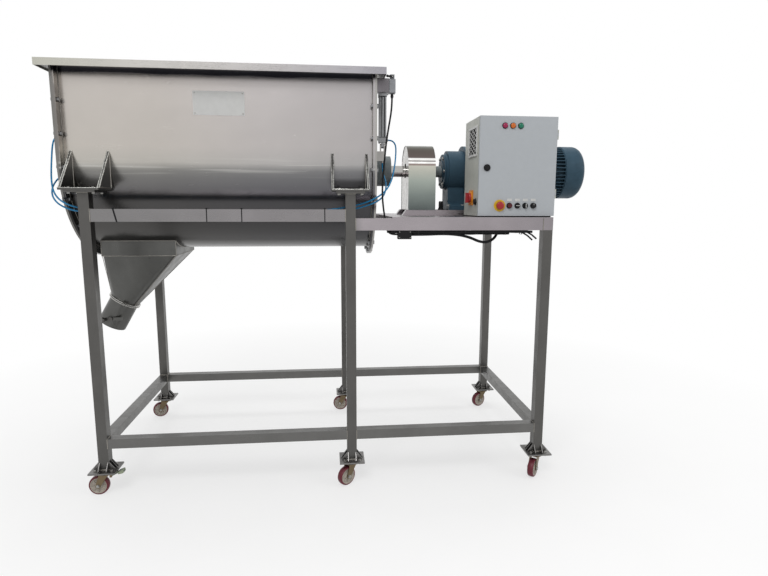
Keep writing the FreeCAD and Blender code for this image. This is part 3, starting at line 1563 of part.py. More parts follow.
def brake_pedal(fork_top):
    """Foot pedal that stands up past the plates and swings down on its pin."""
    x = -s.pedal_pin_back
    z = fork_top - s.fork_thick - s.pedal_pin_drop
    width = s.pedal_width - 2 * s.side_play
    blade = prism("XZ", [[
        (x, z + s.pedal_thick),
        (x - s.pedal_knee, z + s.pedal_knee_rise + s.pedal_thick),
        (x - s.pedal_reach, z + s.pedal_rise + s.pedal_thick),
        (x - s.pedal_reach, z + s.pedal_rise),
        (x - s.pedal_knee, z + s.pedal_knee_rise),
        (x, z - s.pedal_thick),
    ]], -width / 2, width)
    sleeve = rod(x, -width / 2, z, s.pedal_sleeve, width, "Y")
    hole = rod(x, -width / 2 - 1, z, s.pedal_pin_radius + s.running_fit, width + 2, "Y")
    return cut(fuse(sleeve, blade), hole)


def make_casters():
    """Forks and wheels, each pair turned to the direction in which it trails."""
    head_low = s.foot_plate_top - s.foot_plate_thick - s.caster_plate_thick - s.race_height
    fork_top = head_low - s.seal_gap
    inner = s.wheel_width / 2 + s.wheel_play
    for name, x, y, trail_angle in CASTERS:
        turn = FreeCAD.Rotation(V(0, 0, 1), trail_angle)
        crown = rod(0, 0, fork_top - s.fork_thick, s.race_radius, s.fork_thick)
        bridge = box(0, -inner - s.fork_thick, fork_top - s.fork_thick, s.race_radius, 2 * inner + 2 * s.fork_thick,
                     s.fork_thick)
        cheeks = []
        for start in (-inner - s.fork_thick, inner):
            cheeks.append(prism("XZ", [[
                (s.race_radius - 4, fork_top),
                (-s.race_radius / 2, fork_top),
                (s.caster_trail - s.axle_boss, s.wheel_radius),
                (s.caster_trail + s.axle_boss, s.wheel_radius, s.caster_trail, s.wheel_radius, 1),
            ]], start, s.fork_thick))
        axle = rod(s.caster_trail, -inner - s.fork_thick - 4, s.wheel_radius, s.axle_radius,
                   2 * (inner + s.fork_thick + 4), "Y")
        pin_hole = rod(0, 0, fork_top - s.fork_thick - 1, s.kingpin_radius + s.running_fit, s.fork_thick + 2)
        pieces = [crown, bridge, axle, *cheeks]
        if name == "front_left":
            pieces.extend(brake_ears(fork_top))
            node(copy_at(brake_pedal(fork_top), x, y, 0, turn), "brake_pedal")
        fork = cut(fuse(*pieces), pin_hole)
        node(copy_at(fork, x, y, 0, turn), f"caster_fork_{name}")

        half = s.wheel_width / 2
        bore = s.axle_radius + s.running_fit
        tyre = turned([
            (-half, s.wheel_radius - s.tread_thick),
            (half, s.wheel_radius - s.tread_thick),
            (half, s.wheel_radius - 4),
            (half - 5, s.wheel_radius),
            (-half + 5, s.wheel_radius),
            (-half, s.wheel_radius - 4),
        ], s.caster_trail, 0, s.wheel_radius, "Y")
        web = half - s.wheel_dish
        core = turned([
            (-half, bore),
            (half, bore),
            (half, s.hub_radius),
            (web, s.hub_radius + 3),
            (web, s.wheel_radius - s.tread_thick - 6),
            (half, s.wheel_radius - s.tread_thick),
            (-half, s.wheel_radius - s.tread_thick),
            (-web, s.wheel_radius - s.tread_thick - 6),
            (-web, s.hub_radius + 3),
            (-half, s.hub_radius),
        ], s.caster_trail, 0, s.wheel_radius, "Y")
        node(copy_at(group(tyre, core), x, y, 0, turn), f"caster_wheel_{name}")


def hexagon(radius, height):
    corners = [V(radius * math.cos(a * math.pi / 3), radius * math.sin(a * math.pi / 3), 0) for a in range(7)]
    return Part.Face(Part.makePolygon(corners)).extrude(V(0, 0, height))


def bolt(size, grip, at, direction):
    """Hex bolt through a grip: head on the near face, nut on the far one."""
    size, grip = float(size), float(grip)
    head = hexagon(size * 0.92, size * 0.6)
    head.translate(V(0, 0, -size * 0.6))
    shank = Part.makeCylinder(size / 2, grip)
    nut = hexagon(size * 0.92, size * 0.7)
    nut.translate(V(0, 0, grip))
    whole = head.fuse([shank, nut]).removeSplitter()
    whole.Placement = FreeCAD.Placement(at, FreeCAD.Rotation(V(0, 0, 1), direction))
    return whole


def make_fasteners():
    """Hex bolts of the flanges; identical pieces in one node."""
    bolts = []
    grip = s.end_plate_thick + s.flange_thick
    for start, direction in ((outer_left, V(1, 0, 0)), (outer_right, V(-1, 0, 0))):
        for y, z in flange_bolt_places():
            bolts.append(bolt(s.flange_bolt_size, grip, V(float(start), float(y), float(z)), direction))
    shaped(Part.makeCompound(bolts), "flange_bolts")


def rounded_path(points, diameter, name):
    """Straight runs joined by tangent arcs as large as the runs allow, as one wire."""
    runs = [(b - a).Length for a, b in zip(points, points[1:])]
    edges = []
    last = points[0]
    radii = []
    for before, corner, after, run_in, run_out in zip(points, points[1:], points[2:], runs, runs[1:]):
        way_in = (corner - before).normalize()
        way_out = (after - corner).normalize()
        turn = way_in.getAngle(way_out)
        setback = 0.45 * min(run_in, run_out)
        radius = setback / math.tan(turn / 2)
        radii.append(radius)
        start = corner - way_in * setback
        end = corner + way_out * setback
        toward = (way_out - way_in).normalize()
        middle = corner + toward * (radius / math.cos(turn / 2))
        top = middle - toward * radius
        edges.append(Part.LineSegment(last, start).toShape())
        edges.append(Part.Arc(start, top, end).toShape())
        last = end
    edges.append(Part.LineSegment(last, points[-1]).toShape())
    print(f"{name}: radii {', '.join(f'{r:.0f}' for r in radii)}, at least {min(radii) / float(diameter):.1f} diameters")
    return Part.Wire(edges)


def cord(points, diameter, name):
    points = [V(*(float(c) for c in p)) for p in points]
    path = rounded_path(points, diameter, name)
    start = points[0]
    section = Part.Wire([Part.Circle(start, points[1] - start, float(diameter) / 2).toShape()])
    solid = path.makePipeShell([section], True, False)
    expected = math.pi * (float(diameter) / 2) ** 2 * path.Length
    print(f"{name}: length {path.Length:.0f} mm, volume {solid.Volume / expected:.4f} of section times length")
    return shaped(solid, name)


def lead_place(name):
    """Where a cord leaves a fixed or moving fitting."""
    right_face = cylinder_line(1) + s.cylinder_cap / 2 + s.fitting_length
    left_face = cylinder_line(-1) - s.cylinder_cap / 2 - s.fitting_length
    port_z = cylinder_base_height + s.eye_radius + s.cap_clearance + s.cylinder_lower_cap / 2
    block_low = base_block_top - s.base_block_height - s.fitting_length
    switch_x = outer_right + s.switch_base_width + s.switch_width / 2
    switch_low = switch_base_top - s.switch_body_drop - s.switch_height - s.gland_drop
    places = {
        "port_right": (right_face, -s.cylinder_side, port_z),
        "port_left": (left_face, -s.cylinder_side, port_z),
        "block_right": (cylinder_line(1), -s.cylinder_side, block_low),
        "block_left": (cylinder_line(-1), -s.cylinder_side, block_low),
        "switch": (switch_x, -s.switch_side, switch_low),
        "box_left": (valve_x, -side + s.valve_box_setback, valve_z),
        "box_right": (valve_x + s.valve_box_length, -side, valve_z),
        "deck": (deck_gland_x, -side + s.deck_gland_back, deck_gland_z),
    }
    return tuple(float(c) for c in places[name])


valve_x = outer_right + s.valve_box_start
valve_z = s.deck_top - s.deck_plate_thick - s.beam_height - s.valve_box_height / 2
deck_gland_x = outer_right + s.deck_gland_start
deck_gland_z = s.deck_top - s.deck_plate_thick - s.deck_gland_length


def from_leg(*points):
    """Points chosen by hand, with X counted from the left legs' centre line."""
    return [(float(left_leg) + x, y, z) for x, y, z in points]


def make_cords():
    """Two air hoses between the cylinders, the switch's cable and the harness under the deck."""
    cord([lead_place("port_right"), *from_leg(
        (1495, -182, 1817), (1512, -186, 1806), (1519, -196, 1785), (1518, -215, 1755), (1510, -255, 1697),
        (1499, -305, 1645), (1479, -358, 1592), (1448, -412, 1547), (1404, -460, 1511), (1345, -482, 1482),
        (1280, -489, 1462), (1190, -490, 1446), (1090, -491, 1434), (980, -489, 1427), (870, -491, 1424),
        (760, -490, 1428), (650, -491, 1425), (540, -489, 1421), (430, -491, 1425), (320, -490, 1429),
        (215, -491, 1426), (125, -490, 1428), (40, -489, 1435), (-38, -488, 1445), (-98, -481, 1460),
        (-150, -459, 1487), (-190, -420, 1526), (-219, -366, 1577), (-243, -306, 1638), (-262, -250, 1697),
        (-273, -212, 1750), (-274, -193, 1785), (-266, -184, 1806), (-247, -182, 1817)),
        lead_place("port_left")], s.hose_diameter, "hose_upper")
    cord([lead_place("block_right"), *from_leg(
        (1442, -182, 1670), (1444, -192, 1645), (1449, -218, 1618), (1453, -262, 1593), (1450, -315, 1567),
        (1441, -370, 1537), (1424, -418, 1508), (1392, -459, 1483), (1338, -481, 1462), (1275, -488, 1445),
        (1190, -490, 1430), (1090, -491, 1417), (980, -490, 1410), (870, -491, 1408), (760, -490, 1411),
        (650, -491, 1407), (540, -490, 1404), (430, -491, 1408), (320, -490, 1412), (215, -491, 1409),
        (125, -490, 1412), (40, -489, 1419), (-38, -488, 1428), (-100, -482, 1441), (-153, -461, 1465),
        (-194, -422, 1498), (-220, -368, 1536), (-229, -310, 1573), (-222, -258, 1606), (-208, -216, 1634),
        (-195, -190, 1656), (-192, -182, 1674)),
        lead_place("block_left")], s.hose_diameter, "hose_lower")
    cord([lead_place("switch"), *from_leg(
        (1463, -452, 1962), (1458, -452, 1912), (1446, -452, 1845), (1434, -455, 1768), (1425, -460, 1682),
        (1417, -468, 1598), (1413, -477, 1520), (1418, -482, 1452), (1427, -484, 1398), (1432, -487, 1362),
        (1436, -500, 1330), (1456, -510, 1318)),
        lead_place("box_left")], s.switch_cable_diameter, "switch_cable")
    cord([lead_place("box_right"), *from_leg(
        (1630, -527, 1318), (1720, -526, 1322), (1800, -527, 1317), (1862, -526, 1302), (1908, -522, 1281),
        (1952, -514, 1276), (1990, -501, 1292), (2013, -484, 1318), (2025, -472, 1350)),
        lead_place("deck")], s.harness_diameter, "deck_harness")


BUILDERS = (
    make_legs, make_foot_plates, make_lower_rails, make_upper_frame, make_deck, make_brackets, make_shell,
    make_end_plates, make_lid, make_rim_seal, make_cylinders, make_limit_switch, make_chute, make_spout,
    make_damper, make_agitator, make_bearings, make_coupling, make_guard, make_gearbox, make_motor,
    make_fan_cover, make_rotor, make_panel_body, make_panel_door, make_panel_controls, make_panel_gear,
    make_casters, make_fasteners, make_cords,
)

for build in BUILDERS:
    build()
DOC.recompute()
for thing in DOC.Objects:
    if "Invalid" in thing.State or "Error" in thing.State:
        raise RuntimeError(f"{thing.Label} failed: {thing.State}")
for thing in NODES:
    if thing.Shape.isNull() or not thing.Shape.isValid():
        raise RuntimeError(f"{thing.Label} is not a valid shape")
os.makedirs("parts", exist_ok=True)
for thing in NODES:
    thing.Shape.exportStep(f"parts/{thing.Label}.step")
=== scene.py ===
import bpy
import bmesh
import json
import random
from math import atan2, cos, pi, radians, sin, sqrt
from mathutils import Matrix, Vector

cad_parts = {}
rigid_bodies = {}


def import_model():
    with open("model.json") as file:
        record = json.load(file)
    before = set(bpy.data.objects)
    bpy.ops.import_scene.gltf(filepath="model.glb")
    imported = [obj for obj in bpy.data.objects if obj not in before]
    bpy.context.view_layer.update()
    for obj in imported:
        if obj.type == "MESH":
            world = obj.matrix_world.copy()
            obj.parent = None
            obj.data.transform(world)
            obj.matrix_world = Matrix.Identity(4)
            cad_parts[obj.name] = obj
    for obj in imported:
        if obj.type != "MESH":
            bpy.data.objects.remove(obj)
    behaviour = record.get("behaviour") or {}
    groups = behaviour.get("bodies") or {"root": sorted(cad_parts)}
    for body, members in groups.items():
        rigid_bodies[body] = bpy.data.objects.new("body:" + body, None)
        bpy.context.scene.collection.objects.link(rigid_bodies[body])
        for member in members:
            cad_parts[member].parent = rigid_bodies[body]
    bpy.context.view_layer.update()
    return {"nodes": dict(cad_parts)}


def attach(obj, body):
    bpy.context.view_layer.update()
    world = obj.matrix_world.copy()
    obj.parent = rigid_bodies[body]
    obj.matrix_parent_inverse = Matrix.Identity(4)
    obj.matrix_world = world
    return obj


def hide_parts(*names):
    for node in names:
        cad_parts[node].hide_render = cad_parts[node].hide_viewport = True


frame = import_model()
nodes = frame["nodes"]
chance = random.Random(11)
scene = bpy.context.scene
scene_objects = scene.collection.objects

# Places shared by many pieces are in millimetres
MM = 0.001
LEFT_LEG, SHAFT_Z = -1218.5, 1660
RIGHT, LEFT, BACK, FRONT, UP, DOWN = (1, 0, 0), (-1, 0, 0), (0, 1, 0), (0, -1, 0), (0, 0, 1), (0, 0, -1)


# Camera at the photograph's place
camera_data = bpy.data.cameras.new("camera")
camera_data.lens = 25.72
camera_data.sensor_width = 36
camera = bpy.data.objects.new("camera", camera_data)
camera.location = (-0.0802, -3.278, 1.47185)
camera.rotation_euler = (radians(90 - 8.74), radians(-0.19), radians(-5.79))
scene_objects.link(camera)
scene.camera = camera


# Materials
class Finish:
    """A material's nodes, with short ways to make the usual textures."""

    def __init__(self, name, colour, metallic=0.0, rough=0.5):
        self.material = bpy.data.materials.new(name)
        self.material.use_nodes = True
        self.tree = self.material.node_tree
        self.shader = next(n for n in self.tree.nodes if n.type == "BSDF_PRINCIPLED")
        self.shader.inputs["Base Color"].default_value = (*colour, 1)
        self.shader.inputs["Metallic"].default_value = metallic
        self.shader.inputs["Roughness"].default_value = rough
        self.place = self.tree.nodes.new("ShaderNodeTexCoord").outputs["Object"]

    def node(self, kind, **settings):
        made = self.tree.nodes.new("ShaderNode" + kind)
        for key, value in settings.items():
            setattr(made, key, value)
        return made

    def link(self, start, end):
        self.tree.links.new(start, end)

    def stretched(self, scale):
        mapping = self.node("Mapping")
        mapping.inputs["Scale"].default_value = scale
        self.link(self.place, mapping.inputs["Vector"])
        return mapping.outputs["Vector"]

    def noise(self, scale, detail=4, stretch=(1, 1, 1), distortion=0.0, rough=0.5):
        texture = self.node("TexNoise")
        numbers = {"Scale": scale, "Detail": detail, "Roughness": rough, "Distortion": distortion}
        for key, number in numbers.items():
            texture.inputs[key].default_value = number
        self.link(self.stretched(stretch), texture.inputs["Vector"])
        return texture.outputs["Fac"]

    def spread(self, value, low, high, to_low=0.0, to_high=1.0):
        ranged = self.node("MapRange")
        for key, number in (("From Min", low), ("From Max", high), ("To Min", to_low), ("To Max", to_high)):
            ranged.inputs[key].default_value = number
        self.link(value, ranged.inputs["Value"])
        return ranged.outputs["Result"]

    def combine(self, first, second, operation="MULTIPLY"):
        maths = self.node("Math", operation=operation)
        for socket, value in zip(maths.inputs, (first, second)):
            if isinstance(value, (int, float)):
                socket.default_value = value
            else:
                self.link(value, socket)
        return maths.outputs[0]

    def mix(self, amount, first, second):
        mixer = self.node("Mix", data_type="RGBA")
        for name, value in (("Factor", amount), ("A", first), ("B", second)):
            kind = "VALUE" if name == "Factor" else "RGBA"
            socket = next(i for i in mixer.inputs if i.name == name and i.type == kind)
            if isinstance(value, (int, float)):
                socket.default_value = value
            elif isinstance(value, tuple):
                socket.default_value = (*value, 1)
            else:
                self.link(value, socket)
        return next(o for o in mixer.outputs if o.type == "RGBA")

    def paint(self, colour):
        self.link(colour, self.shader.inputs["Base Color"])

    def roughen(self, value):
        self.link(value, self.shader.inputs["Roughness"])

    def raise_by(self, height, strength, distance=0.001):
        bump = self.node("Bump")
        bump.inputs["Strength"].default_value = strength
        bump.inputs["Distance"].default_value = distance
        self.link(height, bump.inputs["Height"])
        previous = self.shader.inputs["Normal"].links
        if previous:
            self.link(previous[0].from_socket, bump.inputs["Normal"])
        self.link(bump.outputs["Normal"], self.shader.inputs["Normal"])

    def part_of_place(self, axis):
        parts = self.node("SeparateXYZ")
        self.link(self.place, parts.inputs[0])
        return parts.outputs[axis]

    def multiply(self, first, second):
        mixer = self.node("Mix", data_type="RGBA", blend_type="MULTIPLY")
        mixer.inputs["Factor"].default_value = 1
        a, b = (i for i in mixer.inputs if i.type == "RGBA")
        self.link(first, a)
        self.link(second, b)
        return next(o for o in mixer.outputs if o.type == "RGBA")

    def ramp(self, value, stops):
        """Colour that follows a value through stops, each a place from 0 to 1 and a colour."""
        ramp = self.node("ValToRGB")
        marks = ramp.color_ramp.elements
        while len(marks) < len(stops):
            marks.new(0.5)
        for mark, (place, colour) in zip(marks, stops):
            mark.position = place
        for mark, (place, colour) in zip(marks, stops):
            mark.color = (*colour, 1)
        self.link(value, ramp.inputs["Fac"])
        return ramp.outputs["Color"]


def shade(colour, factor):
    return tuple(min(1.0, c * factor) for c in colour)


def metal_finish(name, colour, rough, stretch, grain=900, blotch=0.2, scratches=0.25, bump=0.12, wear=1.0):
    """Sheet or bar with a grain along one direction, cloudy patches and fine scratches."""
    finish = Finish(name, colour, 1.0, rough)
    cloud = finish.noise(5, 6, rough=0.6)
    grain_lines = finish.noise(grain, 2, stretch)
    patch = finish.noise(26, 3, tuple(0.35 + 0.65 * s for s in stretch))
    dull, bright = shade(colour, 1 - blotch), shade(colour, 1 + blotch * 0.6)
    tone = finish.mix(finish.spread(cloud, 0.3, 0.7), dull, bright)
    finish.tone = finish.mix(finish.spread(grain_lines, 0.35, 0.65, 0, scratches), tone, shade(colour, 0.72))
    finish.paint(finish.tone)
    patches = finish.spread(patch, 0.3, 0.7, -0.06 * wear, 0.08 * wear)
    lines = finish.spread(grain_lines, 0.3, 0.7, -0.05 * wear, 0.06 * wear)
    finish.roughen(finish.combine(finish.combine(patches, lines, "ADD"), rough, "ADD"))
    finish.raise_by(grain_lines, bump, 0.0004)
    return finish


def metal(*recipe):
    return metal_finish(*recipe).material


def painted_light_bands(finish, axis, stops, waver=0.006):
    """Paints light and shade onto a sheet as bands along an axis, each stop a place in metres and a colour, with
    wavering edges.
    """
    low, high = stops[0][0], stops[-1][0]
    drift = finish.spread(finish.noise(7, 3, (0.4, 1, 1)), 0.25, 0.75, -waver, waver)
    along = finish.spread(finish.combine(finish.part_of_place(axis), drift, "ADD"), low, high)
    tint = finish.ramp(along, [((at - low) / (high - low), colour) for at, colour in stops])
    finish.tone = finish.multiply(finish.tone, tint)
    finish.paint(finish.tone)


def plastic(name, colour, rough=0.4, grain=1400, bump=0.08, coat=0.0, gloss=0.5, mottle=0.85):
    """Moulded plastic or enamel with a fine grain and slight handling marks."""
    finish = Finish(name, colour, 0.0, rough)
    marks = finish.noise(30, 5, rough=0.65)
    fine = finish.noise(grain, 2)
    finish.paint(finish.mix(finish.spread(marks, 0.35, 0.75), colour, shade(colour, mottle)))
    finish.roughen(finish.combine(finish.spread(marks, 0.3, 0.7, -0.06, 0.1), rough, "ADD"))
    finish.raise_by(fine, bump, 0.0003)
    finish.shader.inputs["Coat Weight"].default_value = coat
    finish.shader.inputs["Specular IOR Level"].default_value = gloss
    return finish.material


# GLINT is the colour of the painted highlight lines on the coupling guard.
WHITE, GLINT = (0.96, 0.96, 0.96), (0.95, 0.94, 0.92)
shell = metal_finish("shell_steel", WHITE, 0.25, (0.02, 1, 1), 1100, 0.03, 0.03, 0.02, 0.2)
# Painted shade and light on the trough shell by height: dark towards the bottom where the shell turns under, up
# to its plain tone above the bend, and a dark band under the lid's skirt at the rim as painted shadow.
painted_light_bands(shell, "Z", [
    (1.20, (0.085, 0.085, 0.084)), (1.49, (0.08, 0.08, 0.083)), (1.53, (0.14, 0.14, 0.148)),
    (1.595, (0.18, 0.182, 0.185)), (1.63, (0.23, 0.232, 0.23)), (1.668, (0.45, 0.444, 0.425)),
    (1.75, (0.5, 0.482, 0.463)), (2.04, (0.49, 0.472, 0.46)), (2.07, (0.44, 0.42, 0.41)),
    (2.08, (0.3, 0.29, 0.29)), (2.083, (0.05, 0.05, 0.06)), (2.12, (0.05, 0.05, 0.06))])
# Painted light along the shell: lighter towards the left end and darker towards the right, with a thin dark line
# at the left edge as painted shade.
painted_light_bands(shell, "X", [
    (-1.337, (0.45, 0.44, 0.43)), (-1.333, (1.1, 1.07, 1.02)), (-0.9, (1.04, 1.01, 0.97)),
    (-0.4, (0.97, 0.95, 0.96)), (0.17, (0.85, 0.84, 0.87))])
# Painted highlight: pale streaks along the shell at the bend.
bend_highlight_streaks = shell.spread(shell.noise(46, 3, (0.025, 1, 1)), 0.56, 0.72, 0, 0.55)
height = shell.part_of_place("Z")
near_bend = shell.combine(shell.spread(height, 1.595, 1.64), shell.spread(height, 1.7, 1.66))
shell.tone = shell.mix(shell.combine(bend_highlight_streaks, near_bend), shell.tone, (0.62, 0.61, 0.58))
# The inner face takes one plain tone instead of the painted bands.
below_axis = shell.combine(shell.combine(height, SHAFT_Z * MM, "SUBTRACT"), 0, "MINIMUM")
across = shell.part_of_place("Y")
round_axis = shell.combine(shell.combine(across, across), shell.combine(below_axis, below_axis), "ADD")
inside = shell.spread(shell.combine(round_axis, 0.5, "POWER"), 0.4368, 0.4362)
shell.tone = shell.mix(inside, shell.tone, (0.46, 0.45, 0.43))
shell.paint(shell.tone)
SHELL = shell.material
lid = metal_finish("lid_steel", WHITE, 0.28, (0.02, 1, 1), 1100, 0.05, 0.05, 0.04, 0.4)
# Painted light along the lid: lighter at the left end and darker towards the right.
painted_light_bands(lid, "X", [(-1.4, (0.51, 0.505, 0.445)), (-0.9, (0.49, 0.475, 0.45)), (-0.3, (0.39, 0.375, 0.375)),
                  (0.21, (0.345, 0.335, 0.365))])
LID = lid.material
CHUTE = metal("chute_steel", (0.115, 0.115, 0.11), 0.34, (1, 1, 0.04), 900, 0.1, 0.15, 0.06)
# Painted shade: the left end plate's steel is a darker copy of the right one's, for the shadow on its face
# between the shell and the flange.
END_LEFT_SHADED = metal("end_steel_left", (0.2, 0.195, 0.185), 0.34, (1, 1, 0.04), 900, 0.12, 0.15, 0.06)
END_RIGHT = metal("end_steel_right", (0.36, 0.35, 0.335), 0.3, (1, 1, 0.04), 900, 0.1, 0.12, 0.06)
FRAME = metal("frame_steel", (0.115, 0.112, 0.107), 0.36, (1, 1, 0.03), 900, 0.12, 0.2, 0.06)
LOWER = metal("lower_rail_steel", (0.16, 0.158, 0.153), 0.34, (0.03, 1, 1), 900, 0.12, 0.2, 0.06)
rail = metal_finish("rail_steel", (0.255, 0.243, 0.248), 0.3, (0.03, 1, 1), 900, 0.1, 0.2, 0.06)
# Painted light along the upper frame: a little darker at the left end and lighter along the deck beam on the
# right.
painted_light_bands(rail, "X", [(-1.2, (0.9, 0.92, 0.9)), (-0.5, (1, 1, 1)), (0.05, (1, 1, 1)), (0.09, (1.42, 1.36, 1.4)),
                   (0.8, (1.3, 1.24, 1.28)), (1.07, (1.12, 1.08, 1.12))])
RAIL = rail.material
CAST = plastic("bearing_paint", (0.17, 0.195, 0.2), 0.45, 300, 0.3, gloss=0.3)
DRIVE = plastic("drive_enamel", (0.031, 0.064, 0.092), 0.42, 260, 0.22, gloss=0.14, mottle=0.8)
guard = metal_finish("guard_steel", WHITE, 0.16, (1, 0.03, 1), 800, 0.04, 0.05, 0.04)
# Painted reflections and shade on the coupling guard by height: dark at the foot and lighter upwards, two painted
# highlight lines in GLINT with a dark line between them, a dark brownish painted reflection over the crown and a
# pale top edge.
painted_light_bands(guard, "Z", [
    (1.44, (0.11, 0.128, 0.125)), (1.52, (0.21, 0.24, 0.225)), (1.6, (0.36, 0.4, 0.36)),
    (1.684, (0.56, 0.55, 0.48)), (1.687, (0.3, 0.24, 0.22)), (1.695, (0.32, 0.26, 0.24)), (1.697, GLINT), (1.706, GLINT),
    (1.708, (0.22, 0.2, 0.19)), (1.713, (0.22, 0.2, 0.19)), (1.715, GLINT), (1.726, GLINT),
    (1.729, (0.15, 0.123, 0.115)), (1.775, (0.115, 0.1, 0.088)), (1.802, (0.1, 0.105, 0.08)),
    (1.806, (0.5, 0.5, 0.48))], 0.001)
GUARD = guard.material
PANEL = plastic("panel_enamel", (0.36, 0.38, 0.4), 0.42, 700, 0.1, mottle=0.96)
CABINET = plastic("cabinet_enamel", (0.42, 0.43, 0.39), 0.42, 700, 0.1, mottle=0.94)
ZINC = metal("zinc_plate", (0.17, 0.13, 0.08), 0.34, (1, 1, 1), 500, 0.25)
ALLOY = metal("barrel_alloy", (0.26, 0.265, 0.272), 0.3, (1, 1, 0.04), 900, 0.1, 0.2, 0.06)
RUBBER = plastic("seal_rubber", (0.03, 0.03, 0.032), 0.7, 400, 0.2, gloss=0.2)
WHEEL = plastic("wheel_red", (0.13, 0.02, 0.03), 0.45, 500, 0.15, gloss=0.3)
BLACK = plastic("black_plastic", (0.01, 0.01, 0.011), 0.4, gloss=0.15)
GREY = plastic("grey_plastic", (0.2, 0.21, 0.22), 0.45)
RED = plastic("red_plastic", (0.3, 0.017, 0.02), 0.34, gloss=0.35)
BLUE = plastic("hose_blue", (0.004, 0.18, 0.38), 0.3, 900, 0.05, gloss=0.3)
CABLE = plastic("cable_black", (0.008, 0.008, 0.009), 0.5, 900, 0.15, gloss=0.12)
WELD = metal("weld_bead", (0.3, 0.285, 0.26), 0.42, (1, 1, 1), 300, 0.4)
# The cut edges are real; their bright colour is a painted highlight along each edge.
CUT_EDGE_HIGHLIGHT = metal("torch_cut_edge", (0.58, 0.58, 0.55), 0.28, (1, 1, 1), 200, 0.6)
BOLT = metal("bolt_steel", (0.32, 0.315, 0.3), 0.3, (1, 1, 1), 700, 0.15)
BRIGHT = metal("bright_steel", (0.55, 0.54, 0.52), 0.24, (1, 1, 1), 700, 0.15)
SILVER = plastic("switch_casting", (0.24, 0.25, 0.265), 0.38, 500, 0.15, gloss=0.3)
BRACKET = metal("bracket_steel", (0.16, 0.15, 0.16), 0.34, (1, 1, 0.04), 900, 0.12, 0.2, 0.06)
GALVANISED = metal("galvanised_plate", (0.42, 0.43, 0.44), 0.42, (1, 1, 1), 60, 0.2)
TAG = plastic("bare_tag", (0.5, 0.5, 0.49), 0.35, 500, 0.05, mottle=0.92)
YELLOW = plastic("yellow_plastic", (0.6, 0.36, 0.02), 0.4, gloss=0.35)
ORANGE = plastic("orange_plastic", (0.62, 0.22, 0.012), 0.4, gloss=0.35)
CORE = plastic("wheel_core", (0.4, 0.36, 0.31), 0.45, 500, 0.1, gloss=0.3)
DARK_RED = plastic("dark_red_plastic", (0.06, 0.006, 0.008), 0.34, gloss=0.3)
DARK = plastic("vent_hole_shade", (0.008, 0.008, 0.009), 0.8, gloss=0.1)
LAMP_RED = plastic("lens_magenta", (0.27, 0.008, 0.06), 0.2, 500, 0.03, gloss=0.4)
LAMP_AMBER = plastic("lens_amber", (0.52, 0.12, 0.012), 0.2, 500, 0.03, gloss=0.4)
LAMP_GREEN = plastic("lens_green", (0.004, 0.15, 0.085), 0.2, 500, 0.03, gloss=0.4)
PALE = plastic("pedal_coat", (0.3, 0.34, 0.24), 0.5, 300, 0.2, gloss=0.3)
INNER = metal("ribbon_steel", (0.42, 0.41, 0.39), 0.28, (1, 0.05, 1), 700, 0.18)
SHAFT = metal("shaft_steel", (0.44, 0.43, 0.41), 0.1, (1, 0.03, 0.03), 500, 0.06, 0.06, 0.02, 0.3)
FOOT = metal("foot_steel", (0.2, 0.195, 0.19), 0.3, (1, 1, 1), 500, 0.2, 0.2, 0.06)

NODE_FINISH = {
    "trough_shell": SHELL, "end_plate_left": END_LEFT_SHADED, "end_plate_right": END_RIGHT,
    "lid_front": LID, "lid_rear": LID,
    "discharge_chute": CHUTE, "discharge_spout": CHUTE, "damper": FRAME, "lid_seal": RUBBER,
    "trough_brackets": FRAME, "frame_legs": FRAME, "foot_plates": FOOT, "lower_rails": LOWER, "upper_frame": RAIL,
    "deck_plate": RAIL, "coupling_guard": GUARD, "shaft_coupling": CAST, "bearing_units": CAST,
    "gearbox": DRIVE, "motor": DRIVE, "fan_cover": DRIVE, "motor_rotor": BLACK, "flange_bolts": ALLOY,
    "agitator_shaft": SHAFT, "inner_ribbon": INNER, "outer_ribbon": INNER,
    "cylinder_barrel_left": ALLOY, "cylinder_barrel_right": ALLOY, "cylinder_rod_left": ALLOY,
    "cylinder_rod_right": ALLOY, "limit_switch": GREY, "switch_lever": BLACK,
    "panel_body": CABINET, "panel_door": PANEL, "panel_fittings": BLACK, "panel_gear": GREY, "door_lock": BLACK,
    "stop_button": RED, "push_button": RED, "knob_button": BLACK, "selector_left": BLACK, "selector_right": BLACK,
    "main_switch": RED, "brake_pedal": PALE,
}
for name, thing in nodes.items():
    finish = NODE_FINISH.get(name)
    if name.startswith("caster_fork"):
        finish = ZINC
    if name.startswith("caster_wheel"):
        finish = WHEEL
    if finish is None:
        continue
    thing.data.materials.clear()
    thing.data.materials.append(finish)


# Cords: each route's points are the solid's own
def cord_piece(name, points, diameter, body, finish):
    data = bpy.data.curves.new(name, "CURVE")
    data.dimensions = "3D"
    data.bevel_depth = diameter / 2
    data.bevel_resolution = 4
    data.resolution_u = 8
    line = data.splines.new("NURBS")
    line.points.add(len(points) - 1)
    for spot, point in zip(line.points, points):
        spot.co = (*(c / 1000 for c in point), 1)
    line.order_u = 3
    line.use_endpoint_u = True
    data.use_fill_caps = True
    piece = bpy.data.objects.new(name + "_line", data)
    scene_objects.link(piece)
    data.materials.append(finish)
    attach(piece, body)
    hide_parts(name)
    return piece


def from_leg(*points):
    return [(LEFT_LEG + x, y, z) for x, y, z in points]


